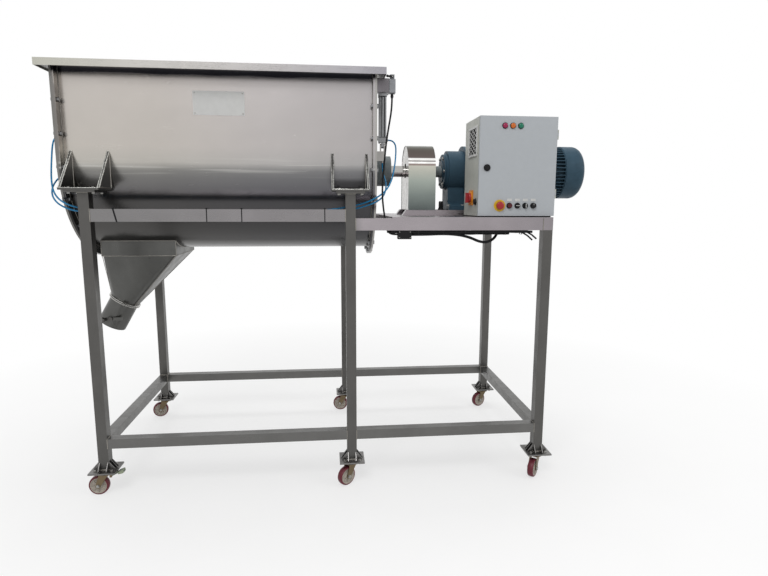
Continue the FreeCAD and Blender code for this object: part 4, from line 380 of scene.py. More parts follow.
CORDS = {
    "hose_upper": [(254.5, -182, 1817), *from_leg(
        (1489, -182, 1817), (1505, -183, 1808), (1514, -188, 1791), (1515, -202, 1769), (1512, -223, 1740),
        (1505, -258, 1697),
        (1492, -305, 1645), (1474, -358, 1592), (1446, -412, 1547), (1404, -460, 1511), (1345, -482, 1482),
        (1280, -489, 1462), (1190, -490, 1446), (1090, -491, 1434), (980, -489, 1427), (870, -491, 1424),
        (760, -490, 1428), (650, -491, 1425), (540, -489, 1421), (430, -491, 1425), (320, -490, 1429),
        (215, -491, 1426), (125, -490, 1428), (40, -489, 1435), (-38, -488, 1445), (-98, -481, 1460),
        (-150, -459, 1487), (-190, -420, 1526), (-219, -366, 1577), (-243, -306, 1638), (-262, -250, 1697),
        (-273, -212, 1750), (-274, -193, 1785), (-266, -184, 1806), (-247, -182, 1817)),
        (-1441.5, -182, 1817)],
    "hose_lower": [(223.5, -182, 1694), *from_leg(
        (1442, -182, 1670), (1444, -192, 1645), (1449, -218, 1618), (1453, -262, 1593), (1450, -315, 1567),
        (1441, -370, 1537), (1424, -418, 1508), (1392, -459, 1483), (1338, -481, 1462), (1275, -488, 1445),
        (1190, -490, 1430), (1090, -491, 1417), (980, -490, 1410), (870, -491, 1408), (760, -490, 1411),
        (650, -491, 1407), (540, -490, 1404), (430, -491, 1408), (320, -490, 1412), (215, -491, 1409),
        (125, -490, 1412), (40, -489, 1419), (-38, -488, 1428), (-100, -482, 1441), (-153, -461, 1465),
        (-194, -422, 1498), (-220, -368, 1536), (-229, -310, 1573), (-222, -258, 1606), (-210, -220, 1630),
        (-197, -194, 1650), (-192, -183, 1671)),
        (-1410.5, -182, 1694)],
    "switch_cable": [(244.5, -452, 1990), *from_leg(
        (1463, -452, 1962), (1458, -452, 1912), (1446, -452, 1845), (1434, -455, 1768), (1425, -460, 1682),
        (1417, -468, 1598), (1413, -477, 1520), (1418, -482, 1452), (1427, -484, 1398), (1431, -486, 1372),
        (1432, -492, 1347), (1443, -503, 1328), (1461, -510, 1318)),
        (268.5, -510, 1318)],
    "deck_harness": [(335.5, -527, 1318), *from_leg(
        (1630, -527, 1318), (1720, -526, 1322), (1800, -527, 1317), (1862, -526, 1302), (1908, -522, 1281),
        (1952, -514, 1276), (1990, -501, 1292), (2013, -484, 1318), (2025, -472, 1350)),
        (806.5, -472, 1386)],
}
for name, diameter, length, finish in (("hose_upper", 0.008, 2549, BLUE), ("hose_lower", 0.008, 2338, BLUE),
                                       ("switch_cable", 0.009, 722, CABLE), ("deck_harness", 0.014, 557, CABLE)):
    cord_piece(name, CORDS[name], diameter, "base", finish)


# Edges
def soften(thing, width):
    edge = thing.modifiers.new("soft_edges", "BEVEL")
    edge.width = width
    edge.segments = 2
    edge.limit_method = "ANGLE"
    edge.angle_limit = radians(40)
    edge.harden_normals = True


ROUNDED = {
    "frame_legs": 0.003, "lower_rails": 0.003, "upper_frame": 0.003,
    "foot_plates": 0.0015, "trough_brackets": 0.0015,
    "gearbox": 0.003, "bearing_units": 0.003, "panel_body": 0.002, "panel_door": 0.002, "discharge_chute": 0.001,
    "coupling_guard": 0.001, "motor": 0.0015, "deck_plate": 0.001, "shaft_coupling": 0.0015,
}
for name, width in ROUNDED.items():
    soften(nodes[name], width)


# Mesh pieces, written in millimetres and made in metres
BOX_FACES = [(0, 1, 3, 2), (4, 6, 7, 5), (0, 4, 5, 1), (2, 3, 7, 6), (0, 2, 6, 4), (1, 5, 7, 3)]


def square_to(direction):
    """Two unit vectors square to a direction and to each other."""
    along = Vector(direction).normalized()
    helper = Vector(UP if abs(along.z) < 0.9 else RIGHT)
    first = along.cross(helper).normalized()
    return along, first, along.cross(first).normalized()


class Piece:
    """One mesh object: faces are added shape by shape, each with the finish in use."""

    def __init__(self, name, body, slot_name, *finishes, soft=0.6):
        self.name, self.body, self.slot_name, self.finishes, self.soft = name, body, slot_name, finishes, soft
        self.points, self.faces, self.marks, self.mark = [], [], [], 0

    def use(self, finish):
        self.mark = self.finishes.index(finish)
        return self

    def add(self, points, faces):
        start = len(self.points)
        self.points.extend(tuple(p) for p in points)
        self.faces.extend(tuple(start + i for i in face) for face in faces)
        self.marks.extend([self.mark] * len(faces))
        return self

    def box(self, low, high, turn=None, about=None):
        corners = [Vector((x, y, z)) for x in (low[0], high[0]) for y in (low[1], high[1])
                   for z in (low[2], high[2])]
        if turn is not None:
            about = Vector(about) if about else sum(corners, Vector()) / 8
            corners = [about + turn @ (c - about) for c in corners]
        return self.add(corners, BOX_FACES)

    def lathe(self, start, direction, outline, steps=40):
        """outline is (distance along, radius) from one end to the other; radius 0 closes an end."""
        along, first, second = square_to(direction)
        start = Vector(start)
        rings, points, faces = [], [], []
        for distance, radius in outline:
            middle = start + along * distance
            if radius == 0:
                rings.append([len(points)])
                points.append(middle)
                continue
            rings.append(list(range(len(points), len(points) + steps)))
            for step in range(steps):
                angle = 2 * pi * step / steps
                points.append(middle + (first * cos(angle) + second * sin(angle)) * radius)
        for ring, after in zip(rings, rings[1:]):
            for step in range(steps):
                other = (step + 1) % steps
                if len(ring) == 1 and len(after) == 1:
                    continue
                if len(ring) == 1:
                    faces.append((ring[0], after[other], after[step]))
                elif len(after) == 1:
                    faces.append((ring[step], ring[other], after[0]))
                else:
                    faces.append((ring[step], ring[other], after[other], after[step]))
        return self.add(points, faces)

    def tube(self, route, radius, steps=14):
        """Round bar or cable through a few points, its rings square to the route."""
        route = [Vector(p) for p in route]
        faces, points = [], []
        for place, spot in enumerate(route):
            ahead = route[min(place + 1, len(route) - 1)] - route[max(place - 1, 0)]
            along, first, second = square_to(ahead)
            for step in range(steps):
                angle = 2 * pi * step / steps
                points.append(spot + (first * cos(angle) + second * sin(angle)) * radius)
        for ring in range(len(route) - 1):
            low, high = ring * steps, (ring + 1) * steps
            faces += [(low + s, low + (s + 1) % steps, high + (s + 1) % steps, high + s) for s in range(steps)]
        faces += [tuple(range(steps))[::-1], tuple(range(len(points) - steps, len(points)))]
        return self.add(points, faces)

    def pin(self, start, direction, radius, length, steps=24):
        return self.lathe(start, direction, [(0, 0), (0, radius), (length, radius), (length, 0)], steps)

    def bolt(self, at, direction, size=10, washer=True):
        """Hex head with a washer under it, standing on a face at the given point."""
        rise = 0
        if washer:
            self.pin(at, direction, size * 1.05, size * 0.16)
            rise = size * 0.16
        head = size * 0.62
        self.lathe(Vector(at) + Vector(direction).normalized() * rise, direction,
                   [(0, size * 0.88), (head * 0.85, size * 0.88), (head, size * 0.74), (head, 0)], 6)
        return self

    def plate(self, plane, outline, start, end):
        """A flat outline of any number of corners, given thickness along the plane's normal."""
        order = {"XY": (0, 1, 2), "XZ": (0, 2, 1), "YZ": (1, 2, 0)}[plane]
        points = []
        for level in (start, end):
            for u, v in outline:
                spot = [0, 0, 0]
                spot[order[0]], spot[order[1]], spot[order[2]] = u, v, level
                points.append(spot)
        count = len(outline)
        faces = [tuple(range(count))[::-1], tuple(range(count, 2 * count))]
        faces += [(i, (i + 1) % count, count + (i + 1) % count, count + i) for i in range(count)]
        return self.add(points, faces)

    def weld(self, route, radius=3.0, pitch=3.2):
        """A bead of overlapping ripples along straight runs."""
        for begin, end in zip(route, route[1:]):
            begin, end = Vector(begin), Vector(end)
            length = (end - begin).length
            count = max(3, int(length / pitch))
            outline = [(0, 0)]
            for step in range(count + 1):
                swell = 1.0 if step % 2 else 0.8
                outline.append((length * step / count, radius * swell * chance.uniform(0.88, 1.12)))
            outline.append((length, 0))
            self.lathe(begin, end - begin, outline, 8)
        return self

    def make(self, replaces=()):
        data = bpy.data.meshes.new(self.name)
        data.from_pydata([tuple(c * MM for c in p) for p in self.points], [], self.faces)
        for finish in self.finishes:
            data.materials.append(finish)
        data.polygons.foreach_set("material_index", self.marks)
        solid = bmesh.new()
        solid.from_mesh(data)
        bmesh.ops.recalc_face_normals(solid, faces=solid.faces)
        solid.to_mesh(data)
        solid.free()
        data.polygons.foreach_set("use_smooth", [True] * len(data.polygons))
        data.set_sharp_from_angle(angle=radians(35))
        thing = bpy.data.objects.new(self.name, data)
        scene_objects.link(thing)
        if self.soft:
            soften(thing, self.soft * MM)
        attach(thing, self.body)
        if replaces:
            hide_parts(*replaces)
        return thing


# Frame: welds where tubes meet and bolts of plates
LEG_X = (LEFT_LEG, 31.5, 1041.5)
LEG_Y = (-527.0, 527.0)
HALF = 25
LOWER_RAIL, FRONT_RAIL, DECK_BEAM = (250, 300), (1383, 1443), (1340, 1400)
FOOT_TOP, BRACKET_FOOT, BRACKET_TOP = 138, 1520, 1540
welds = Piece("frame_welds", "base", "frame_steel", WELD, soft=0)
bolts = Piece("frame_bolts", "base", "zinc", BOLT, soft=0.3)


def weld_round_rail(x, y, low, high, end):
    """Bead down both faces and along the top and foot where a rail meets a leg."""
    face = x + end * HALF
    for side_y in (y - HALF - 0.5, y + HALF + 0.5):
        welds.weld([(face, side_y, low), (face, side_y, high)], 2.6)
    for z in (low, high):
        welds.weld([(face, y - HALF, z), (face, y + HALF, z)], 2.6)


for y in LEG_Y:
    for x, end in ((LEG_X[0], 1), (LEG_X[1], -1), (LEG_X[1], 1), (LEG_X[2], -1)):
        weld_round_rail(x, y, *LOWER_RAIL, end)
    for x, end in ((LEG_X[0], 1), (LEG_X[1], -1)):
        weld_round_rail(x, y, *FRONT_RAIL, end)
    for x, end in ((LEG_X[1], 1), (LEG_X[2], -1)):
        weld_round_rail(x, y, *DECK_BEAM, end)
for x in (LEG_X[0], LEG_X[2]):
    for end in (-1, 1):
        face = end * (LEG_Y[1] - HALF)
        low, high = LOWER_RAIL
        for side_x in (x - HALF - 0.5, x + HALF + 0.5):
            welds.weld([(side_x, face, low), (side_x, face, high)], 2.6)
        welds.weld([(x - HALF, face, high), (x + HALF, face, high)], 2.6)
for x in LEG_X:
    for y in LEG_Y:
        around = ((-1, -1), (1, -1), (1, 1), (-1, 1), (-1, -1))
        rim = [(x + across * HALF, y + deep * HALF) for across, deep in around]
        welds.weld([(*p, FOOT_TOP + 1) for p in rim], 3.2)
        for side_x in (-39, 39):
            for side_y in (-38, 38):
                bolts.bolt((x + side_x, y + side_y, FOOT_TOP), UP, 8)
        if x < LEG_X[2]:
            welds.weld([(*p, BRACKET_FOOT - 1) for p in rim], 3)

BRACKET_HALF = 90
GUSSET_FACES = (-BRACKET_HALF, 8 - BRACKET_HALF, BRACKET_HALF - 8, BRACKET_HALF)
for x in LEG_X[:2]:
    for hand in (-1, 1):
        bead = BRACKET_TOP + 1
        for gusset in (x + face for face in GUSSET_FACES):
            welds.weld([(gusset, hand * 441, bead), (gusset, hand * 583, bead)], 3.2)
            welds.weld([(gusset, hand * 440.5, 1545), (gusset, hand * 437.5, 1716)], 3.4)
        welds.weld([(x - BRACKET_HALF, hand * 441, bead), (x + BRACKET_HALF, hand * 441, bead)], 3)
        for side_x in (-55, 55):
            for y in (470, 565):
                bolts.bolt((x + side_x, hand * y, BRACKET_TOP), UP, 8)
                bolts.bolt((x + side_x, hand * y, BRACKET_FOOT), DOWN, 9)


# Torch-cut edges of the gussets, ragged, with their brightness a painted highlight along each edge, and small
# gussets at the feet
cuts = Piece("cut_edges", "base", "frame_steel", CUT_EDGE_HIGHLIGHT, soft=0)
for x in LEG_X[:2]:
    for hand in (-1, 1):
        for edge_x in (x + face for face in GUSSET_FACES):
            run = [(edge_x + chance.uniform(-0.6, 0.6), hand * (587 - 149 * s / 12 + chance.uniform(-1, 1)),
                    BRACKET_TOP + 178.4 * s / 12) for s in range(13)]
            cuts.weld(run, 2.9, 6)
            cuts.weld([(edge_x, hand * 587, BRACKET_TOP), (edge_x, hand * 596, BRACKET_TOP)], 1.8)
        lip = [(x + side * BRACKET_HALF, hand * 597, BRACKET_TOP) for side in (-1, 1)]
        cuts.weld(lip, 1.3, 7)
cuts.make()

FOOT_REACH, FOOT_RISE = 27, 40
feet = Piece("foot_gussets", "base", "frame_steel", FOOT, BRIGHT, soft=0.6)
for x in LEG_X:
    for y in LEG_Y:
        for hand in (-1, 1):
            feet.use(FOOT)
            for plane, along, over in (("XZ", x, y), ("YZ", y, x)):
                near, far = along + hand * HALF, along + hand * (HALF + FOOT_REACH)
                outline = [(near, FOOT_TOP), (far, FOOT_TOP), (far, FOOT_TOP + 5), (near, FOOT_TOP + FOOT_RISE)]
                for middle in (over - HALF + 5, over + HALF - 5):
                    feet.plate(plane, outline, middle - 2.5, middle + 2.5)
            feet.use(BRIGHT)
            feet.weld([(x + hand * HALF, y + side * HALF, FOOT_TOP + 0.5) for side in (-1, 1)], 2.4)
feet.make()


# Trough: bend and end welds, the bare plate with its rivets, collar and chute seams
shell_welds = Piece("trough_welds", "base", "brushed_sheet", WELD, soft=0)
for start, hand in ((-1345.5, 1), (158.5, -1)):
    face = start + hand * 10.5
    for y in (-438.8, 438.8):
        shell_welds.weld([(face, y, 1662), (face, y, 2094)], 2.0, 5)
    bowl = [(face, 438.8 * cos(a), SHAFT_Z - 438.8 * sin(a)) for a in (pi * s / 36 for s in range(37))]
    shell_welds.weld(bowl, 2.0, 5)
COLLAR = (-1291.5, -903.5, -200, 200)
shell_z = {y: SHAFT_Z - sqrt(438 ** 2 - y * y) for y in (-200, 0, 200)}
for y in (-200, 200):
    shell_welds.weld([(COLLAR[0], y, shell_z[200]), (COLLAR[1], y, shell_z[200])], 3)
    shell_welds.weld([(COLLAR[0], y, 1188), (COLLAR[1], y, 1188)], 2.2)
for x in COLLAR[:2]:
    arch = [(x, 200 * s / 8, SHAFT_Z - sqrt(438 ** 2 - (200 * s / 8) ** 2)) for s in range(-8, 9)]
    shell_welds.weld(arch, 3)
    shell_welds.weld([(x, -200, 1188), (x, 200, 1188)], 2.2)
    for y in (-200, 200):
        shell_welds.weld([(x, y, 1189), (x, y, shell_z[200])], 2)
NECK, SPOUT_WAY = Vector((-1258, 0, 915)), Vector((-0.5, 0, -cos(radians(30))))
for hand in (-1, 1):
    shell_welds.weld([(-907, hand * 197, 1187), (-1191, hand * 45, 887)], 2.4)
    shell_welds.weld([(-1289, hand * 197, 1187), (-1312, hand * 46, 956)], 2.0)
shell_welds.make()

clamp = Piece("neck_clamp", "base", "brushed_sheet", BRIGHT, BOLT, soft=0)
band = [(0, 78.5), (0, 84), (2.5, 88.5), (5, 88.5), (7, 85), (10, 85), (12, 88.5), (14.5, 88.5), (17, 84),
        (17, 78.5)]
clamp.lathe(NECK - SPOUT_WAY * 9, SPOUT_WAY, band, 72)
for turn in (0, 180):
    about = Matrix.Rotation(radians(turn + 250), 3, SPOUT_WAY)
    out = about @ SPOUT_WAY.cross(Vector(BACK)).normalized()
    clamp.use(BOLT)
    side = SPOUT_WAY.cross(out).normalized()
    lug = NECK + out * 94
    for offset in (-7, 7):
        clamp.pin(lug + side * (offset - 2) - out, side, 9, 4, 20)
    clamp.pin(lug - side * 16, side, 3.4, 32, 16)
    clamp.bolt(lug + side * 9, side, 7, washer=False)
clamp.make()

PLATE_X, PLATE_Z = (-724, -478), (1895, 2008)
tag = Piece("bare_plate", "base", "brushed_sheet", TAG, BOLT, soft=0.3)
(left, right), (low, high) = PLATE_X, PLATE_Z
tag.plate("XZ", [(left, low), (right, low), (right, high), (left, high)], -439.2, -438)
tag.use(BOLT)
for x in (left + 9, right - 9):
    for z in (low + 9, high - 9):
        tag.lathe((x, -439, z), FRONT, [(0, 3.6), (1.2, 3.4), (2, 2.2), (2.3, 0)], 16)
tag.make()


# Hose ties round the upper front rail, one of them slanting
ties = Piece("hose_ties", "base", "black_plastic", BLACK, soft=0)
for x, lean, wide in ((-1081, 7, 3.6), (-659, 0, 2.4), (-494, 0, 2.4), (-95, 0, 2.4)):
    for y0, y1, z0, z1 in ((-553.2, -552, 1381.8, 1444.2), (-502, -487.5, 1443.2, 1444.4),
                           (-552, -502, 1443.2, 1444.4), (-552, -502, 1381.6, 1382.8),
                           (-488.7, -487.5, 1400, 1444.4)):
        corners = [Vector((x + dx, y, z)) for dx in (-wide, wide) for y in (y0, y1) for z in (z0, z1)]
        shifted = [Vector((c.x + lean * (1413 - c.z) / 31, c.y, c.z)) for c in corners]
        ties.add(shifted, BOX_FACES)
    ties.box((x - 4 - lean, -553.5, 1444), (x + 4 - lean, -546, 1449))
ties.make()


# Casters: rounded tread on a pale core, axle nuts and the bolts of the top plates
CASTERS = (("front_left", 0, 0, 180), ("rear_left", 0, 1, 195), ("front_middle", 1, 0, 217),
           ("rear_middle", 1, 1, 170), ("front_right", 2, 0, 231), ("rear_right", 2, 1, 205))
WHEEL_R, WHEEL_HALF, TRAIL = 50, 16, 38
for name, column, row, heading in CASTERS:
    turn = Matrix.Rotation(radians(heading), 3, "Z")
    post = Vector((LEG_X[column], LEG_Y[row], 0))
    axle = turn @ Vector(BACK)
    hub = post + turn @ Vector((TRAIL, 0, WHEEL_R))
    wheel = Piece(f"wheel_{name}_tyre", f"wheel_{name}", "caster_red", WHEEL, CORE, BOLT, soft=0)
    tread = [(-15.6, 41), (-16, 43.5), (-15.2, 46.2), (-12.5, 48.6), (-7.5, 49.7), (0, 50),
             (7.5, 49.7), (12.5, 48.6), (15.2, 46.2), (16, 43.5), (15.6, 41)]
    wheel.lathe(hub, axle, tread, 64)
    wheel.use(CORE)
    for hand in (-1, 1):
        face = [(hand * 15.6, 41), (hand * 15.2, 38.5), (hand * 12, 36.5), (hand * 10.5, 34), (hand * 10, 20),
                (hand * 11.5, 17.5), (hand * 15.5, 15.5), (hand * 16, 13.5), (hand * 16, 5.1)]
        wheel.lathe(hub, axle, face, 64)
        for spoke in range(8):
            swing = Matrix.Rotation(radians(45 * spoke), 3, axle)
            out = swing @ Vector(UP)
            flank = out.cross(axle)
            near, far = hub + out * 17 + axle * hand * 10, hub + out * 36 + axle * hand * 10
            corners = [p + flank * w + axle * hand * d for p in (near, far)
                       for w in (-1.8, 1.8) for d in (0, 3.6)]
            wheel.add(corners, BOX_FACES)
        wheel.use(BOLT)
        wheel.lathe(hub + axle * hand * 14, axle * hand, [(0, 11), (2.2, 11), (2.6, 10), (2.6, 5.1)], 32)
        wheel.use(CORE)
    wheel.make(replaces=(f"caster_wheel_{name}",))
    fittings = Piece(f"fork_{name}_nuts", f"fork_{name}", "zinc", BOLT, soft=0.2)
    for hand in (-1, 1):
        fittings.bolt(hub + axle * hand * 22, axle * hand, 9)
    fittings.make()
    for corner_x in (-39, 39):
        for corner_y in (-39, 39):
            bolts.bolt(post + Vector((corner_x, corner_y, 125)), DOWN, 8)
welds.make()
bolts.make()


# Pad of the brake pedal, low enough to pass under the foot plates
pad = Piece("pedal_pad", "pedal", "zinc", PALE, CAST, soft=0.8)
outline = [(-1158, 119.6), (-1134, 128.7), (-1130.5, 127.6), (-1129.5, 116), (-1135, 111), (-1157, 107)]
pad.plate("XZ", outline, -543, -511)
pad.use(CAST)
for x, z in ((-1154, 121.4), (-1149, 123.3), (-1144, 125.2), (-1139, 127.1)):
    pad.box((x - 0.9, -541, z - 3), (x + 0.9, -513, z + 0.7))
for z in (114, 118, 122):
    pad.box((-1131, -541, z), (-1129, -513, z + 1.6))
pad.make()


# Drive: flange bolts, foot bolts, a ribbed plug, a flange ring and bearing bolts
def bolt_ring(x, radius, count, first, size):
    for step in range(count):
        angle = radians(first + 360 / count * step)
        drive.bolt((x, radius * cos(angle), SHAFT_Z + radius * sin(angle)), LEFT, size)


drive = Piece("drive_bolts", "base", "zinc", BOLT, DRIVE, BLACK, soft=0.3)
bolt_ring(720, 134, 8, 22.5, 10)
for y in (-96, 96):
    for x in (618, 700):
        drive.bolt((x, y * 1.12, 1459), UP, 12)
bolt_ring(602.5, 86, 6, 30, 9)
drive.use(DRIVE)
drive.lathe((590, 0, SHAFT_Z), RIGHT, [(0, 33.5), (0, 64), (5, 66), (5, 99), (6, 100), (12.5, 100)], 72)
drive.use(BOLT)
bolt_ring(595, 84, 6, 0, 10)
for side_y in (-84, 84):
    for side_z in (-84, 84):
        drive.bolt((190.5, side_y, SHAFT_Z + side_z), RIGHT, 14)
        drive.bolt((-1377.5, side_y, SHAFT_Z + side_z), LEFT, 14)
drive.use(BLACK)
plug = [(0, 0), (0, 17), (5, 17), (5, 15.5), (12, 15.5), (12, 12), (46, 12), (50, 10), (50, 0)]
drive.lathe((570, -120, 1437), UP, plug, 40)
for ring in range(6):
    drive.lathe((570, -120, 1451 + ring * 5), UP, [(0, 12), (0.8, 13.6), (2.4, 13.6), (3.2, 12)], 32)
drive.make()

# Sheet across each end of the coupling guard, with a hole for the shaft
ends = Piece("guard_ends", "base", "polished_guard", BRIGHT, soft=0)
GUARD_HALF, GUARD_BEND, SHAFT_HOLE = 147.5, 1657, 46
arch = [(-GUARD_HALF, 1438)] + [(-GUARD_HALF * cos(a), GUARD_BEND + GUARD_HALF * sin(a))
                                for a in (pi * s / 30 for s in range(31))] + [(GUARD_HALF, 1438)]
for x in (377.5, 528.5):
    points, faces = [], []
    for level in (x, x + 1):
        for y, z in arch:
            swing = atan2(z - SHAFT_Z, y)
            hole = (level, SHAFT_HOLE * cos(swing), SHAFT_Z + SHAFT_HOLE * sin(swing))
            points += [(level, y, z), hole]
    count = 2 * len(arch)
    for step in range(len(arch)):
        near, far = 2 * step, 2 * ((step + 1) % len(arch))
        faces += [(near, far, far + 1, near + 1),
                  (count + near, count + near + 1, count + far + 1, count + far),
                  (near, near + count, far + count, far),
                  (near + 1, far + 1, far + 1 + count, near + 1 + count)]
    ends.add(points, faces)
ends.make()

# Square profile of each cylinder barrel: corner rails with a groove between them
for side, body, x in (("left", "barrel_left", -1410.5), ("right", "barrel_right", 223.5)):
    rails = Piece(f"cylinder_rails_{side}", body, "cylinder_alloy", ALLOY, BOLT, BLACK, soft=0.6)
    for corner_x in (x - 15.5, x + 15.5):
        for y in (-197.5, -166.5):
            rails.use(ALLOY)
            rails.box((corner_x - 4.5, y - 4.5, 1831), (corner_x + 4.5, y + 4.5, 2046))
            rails.use(BOLT)
            socket = [(0, 4.4), (2.5, 4.4), (3, 3.6), (3, 2.2), (1, 2.2), (1, 0)]
            rails.lathe((corner_x, y, 1803.5), DOWN, socket, 20)
    rails.use(BLACK)
    for z in (1829, 2045):
        rails.box((x - 22.4, -204.4, z), (x + 22.4, -159.6, z + 3))
    rails.make()


# Cabinet: rings, lamps and tags on the door
DOOR_Y = -530
CONTROL_Z = 1464
front = Piece("door_rings", "door", "black_plastic", BLACK, YELLOW, LAMP_RED, LAMP_AMBER, LAMP_GREEN, TAG,
              soft=0.25)
for x, lens in ((803.5, LAMP_RED), (844, LAMP_AMBER), (884.5, LAMP_GREEN)):
    front.use(BLACK)
    front.lathe((x, DOOR_Y, 1858), FRONT, [(0, 15), (3.4, 15), (4.4, 14.2), (4.4, 12.8), (4, 12.8)], 40)
    front.use(lens)
    dome = [(4, 12.8), (6.5, 12.6), (9, 11), (10.4, 7.5), (10.9, 3.5), (11, 0)]
    front.lathe((x, DOOR_Y, 1858), FRONT, dome, 40)
front.use(YELLOW)
front.lathe((788.5, DOOR_Y, CONTROL_Z), FRONT, [(0, 30), (1.4, 30), (2, 29.2), (2, 17)], 64)
front.use(BLACK)
front.lathe((788.5, DOOR_Y, CONTROL_Z), FRONT, [(2, 17), (4, 16.4), (4, 8.3)], 48)
for x in (839.5, 881.5, 922.5, 964.5):
    front.use(BLACK)
    front.lathe((x, DOOR_Y, CONTROL_Z), FRONT, [(0, 15), (2.8, 15), (4, 13.6), (4, 8.3)], 40)
    front.use(TAG)
    front.plate("XZ", [(x - 13, 1486), (x + 13, 1486), (x + 13, 1499), (x - 13, 1499)], DOOR_Y - 0.9, DOOR_Y)
front.make(replaces=("panel_fittings",))

stop = Piece("stop_mushroom", "stop", "red_plastic", RED, BLACK, soft=0.3)
stop.lathe((788.5, DOOR_Y - 8.6, CONTROL_Z), FRONT,
           [(0, 12), (1.5, 17.5), (3.5, 20), (7, 20), (10.5, 18.4), (12.6, 14.5), (13.6, 8), (13.9, 0)], 56)
stop.use(BLACK)
stop.pin((788.5, DOOR_Y + 12, CONTROL_Z), FRONT, 8, 21)
stop.make(replaces=("stop_button",))

push = Piece("push_cap", "push", "green_plastic", DARK_RED, BLACK, soft=0.3)
push.lathe((839.5, DOOR_Y - 8.5, CONTROL_Z), FRONT, [(0, 12), (5.4, 12), (6.6, 11), (6.2, 8), (6, 0)], 40)
push.use(BLACK)
push.pin((839.5, DOOR_Y + 12, CONTROL_Z), FRONT, 8, 20.8)
push.make(replaces=("push_button",))

knob = Piece("knob_cap", "knob", "red_plastic", BLACK, TAG, soft=0.3)
knob.lathe((964.5, DOOR_Y - 8.5, CONTROL_Z), FRONT, [(0, 14), (5.6, 13.4), (6.8, 12.4), (7, 0)], 24)
knob.pin((964.5, DOOR_Y + 12, CONTROL_Z), FRONT, 8, 20.8)
knob.use(TAG)
knob.box((963.8, DOOR_Y - 15.8, 1466), (965.2, DOOR_Y - 15.2, 1475))
knob.make(replaces=("knob_button",))

for name, x, body, across in (("selector_left", 881.5, "selector_a", True),
                              ("selector_right", 922.5, "selector_b", False)):
    turn = Piece(f"{name}_handle", body, "black_plastic", BLACK, TAG, soft=0.5)
    outline = [(0, 0), (0, 8), (16.6, 8), (16.6, 12.9), (19.6, 12.6), (20, 0)]
    turn.lathe((x, DOOR_Y + 12, CONTROL_Z), FRONT, outline, 40)
    wide, high = (12, 3.4) if across else (3.4, 12)
    turn.box((x - wide, DOOR_Y - 17.9, CONTROL_Z - high), (x + wide, DOOR_Y - 7.6, CONTROL_Z + high))
    turn.use(TAG)
    wide, high = (11, 1.5) if across else (1.5, 11)
    turn.box((x - wide, DOOR_Y - 18.0, CONTROL_Z - high), (x + wide, DOOR_Y - 17.6, CONTROL_Z + high))
    turn.make(replaces=(name,))

lock = Piece("lock_face", "lock", "black_plastic", BLACK, BOLT, soft=0.3)
outline = [(0, 17), (5, 17), (6.5, 15.5), (6.5, 12.5), (9.4, 12), (9.5, 0)]
lock.lathe((717.5, DOOR_Y - 0.5, 1652), FRONT, outline, 40)
lock.use(BOLT)
lock.box((716, DOOR_Y - 9.8, 1643), (719, DOOR_Y - 9.3, 1661))
lock.use(BLACK)
lock.pin((717.5, DOOR_Y + 12, 1652), FRONT, 9, 13)
lock.use(BOLT)
lock.box((687.5, DOOR_Y + 3.5, 1646), (717.5, DOOR_Y + 6.5, 1658))
lock.make(replaces=("door_lock",))

seal = Piece("door_gasket", "door", "rubber", RUBBER, soft=0.5)
for x0, x1, z0, z1 in ((684, 1071, 1419, 1425), (684, 1071, 1892, 1898), (684, 690, 1425, 1892),
                       (1065, 1071, 1425, 1892)):
    seal.box((x0, -524, z0), (x1, -518.6, z1))
seal.make()

# Vent on the cabinet's left wall: a raised frame round a punched sheet, with a dark sheet behind it as painted
# shade in the holes
VENT_Y, VENT_Z, WALL_X = (-488, -324), (1714, 1864), 677.5
vent = Piece("vent_cover", "base", "panel_paint", TAG, DARK, soft=0.4)
# Dark sheet behind the punched sheet: painted shade seen through the holes.
vent.use(DARK)
vent.box((WALL_X - 1.2, VENT_Y[0] + 6, VENT_Z[0] + 6), (WALL_X - 0.4, VENT_Y[1] - 6, VENT_Z[1] - 6))
vent.use(TAG)
low, high = Vector((VENT_Y[0] + 11, VENT_Z[0] + 11)), Vector((VENT_Y[1] - 11, VENT_Z[1] - 11))
for y0, y1, z0, z1 in ((*VENT_Y, VENT_Z[0], low.y), (*VENT_Y, high.y, VENT_Z[1]),
                       (VENT_Y[0], low.x, low.y, high.y), (high.x, VENT_Y[1], low.y, high.y)):
    vent.box((WALL_X - 5, y0, z0), (WALL_X, y1, z1))
LOZENGE_WIDE, LOZENGE_HIGH, STRAND = 54, 25, 2.1
for hand in (1, -1):
    run = Vector((LOZENGE_WIDE / 2, hand * LOZENGE_HIGH / 2))
    side = Vector((-run.y, run.x)).normalized() * STRAND
    climb = run.y / run.x
    for step in range(-12, 26):
        at_left = low.y + LOZENGE_HIGH * (step + 0.25)
        spots = [(low.x, at_left), (high.x, at_left + climb * (high.x - low.x))]
        rise = spots[1][1] - spots[0][1]
        cut = sorted([0.0, 1.0] + [(level - spots[0][1]) / rise for level in (low.y, high.y)])[1:3]
        begin, end = (Vector(spots[0]).lerp(Vector(spots[1]), max(0.0, min(1.0, c))) for c in cut)
        outside = min(begin.y, end.y) < low.y - 0.01 or max(begin.y, end.y) > high.y + 0.01
        if (end - begin).length < 12 or outside:
            continue
        vent.plate("YZ", [begin + side, end + side, end - side, begin - side], WALL_X - 2.4, WALL_X - 1.4)
vent.make()

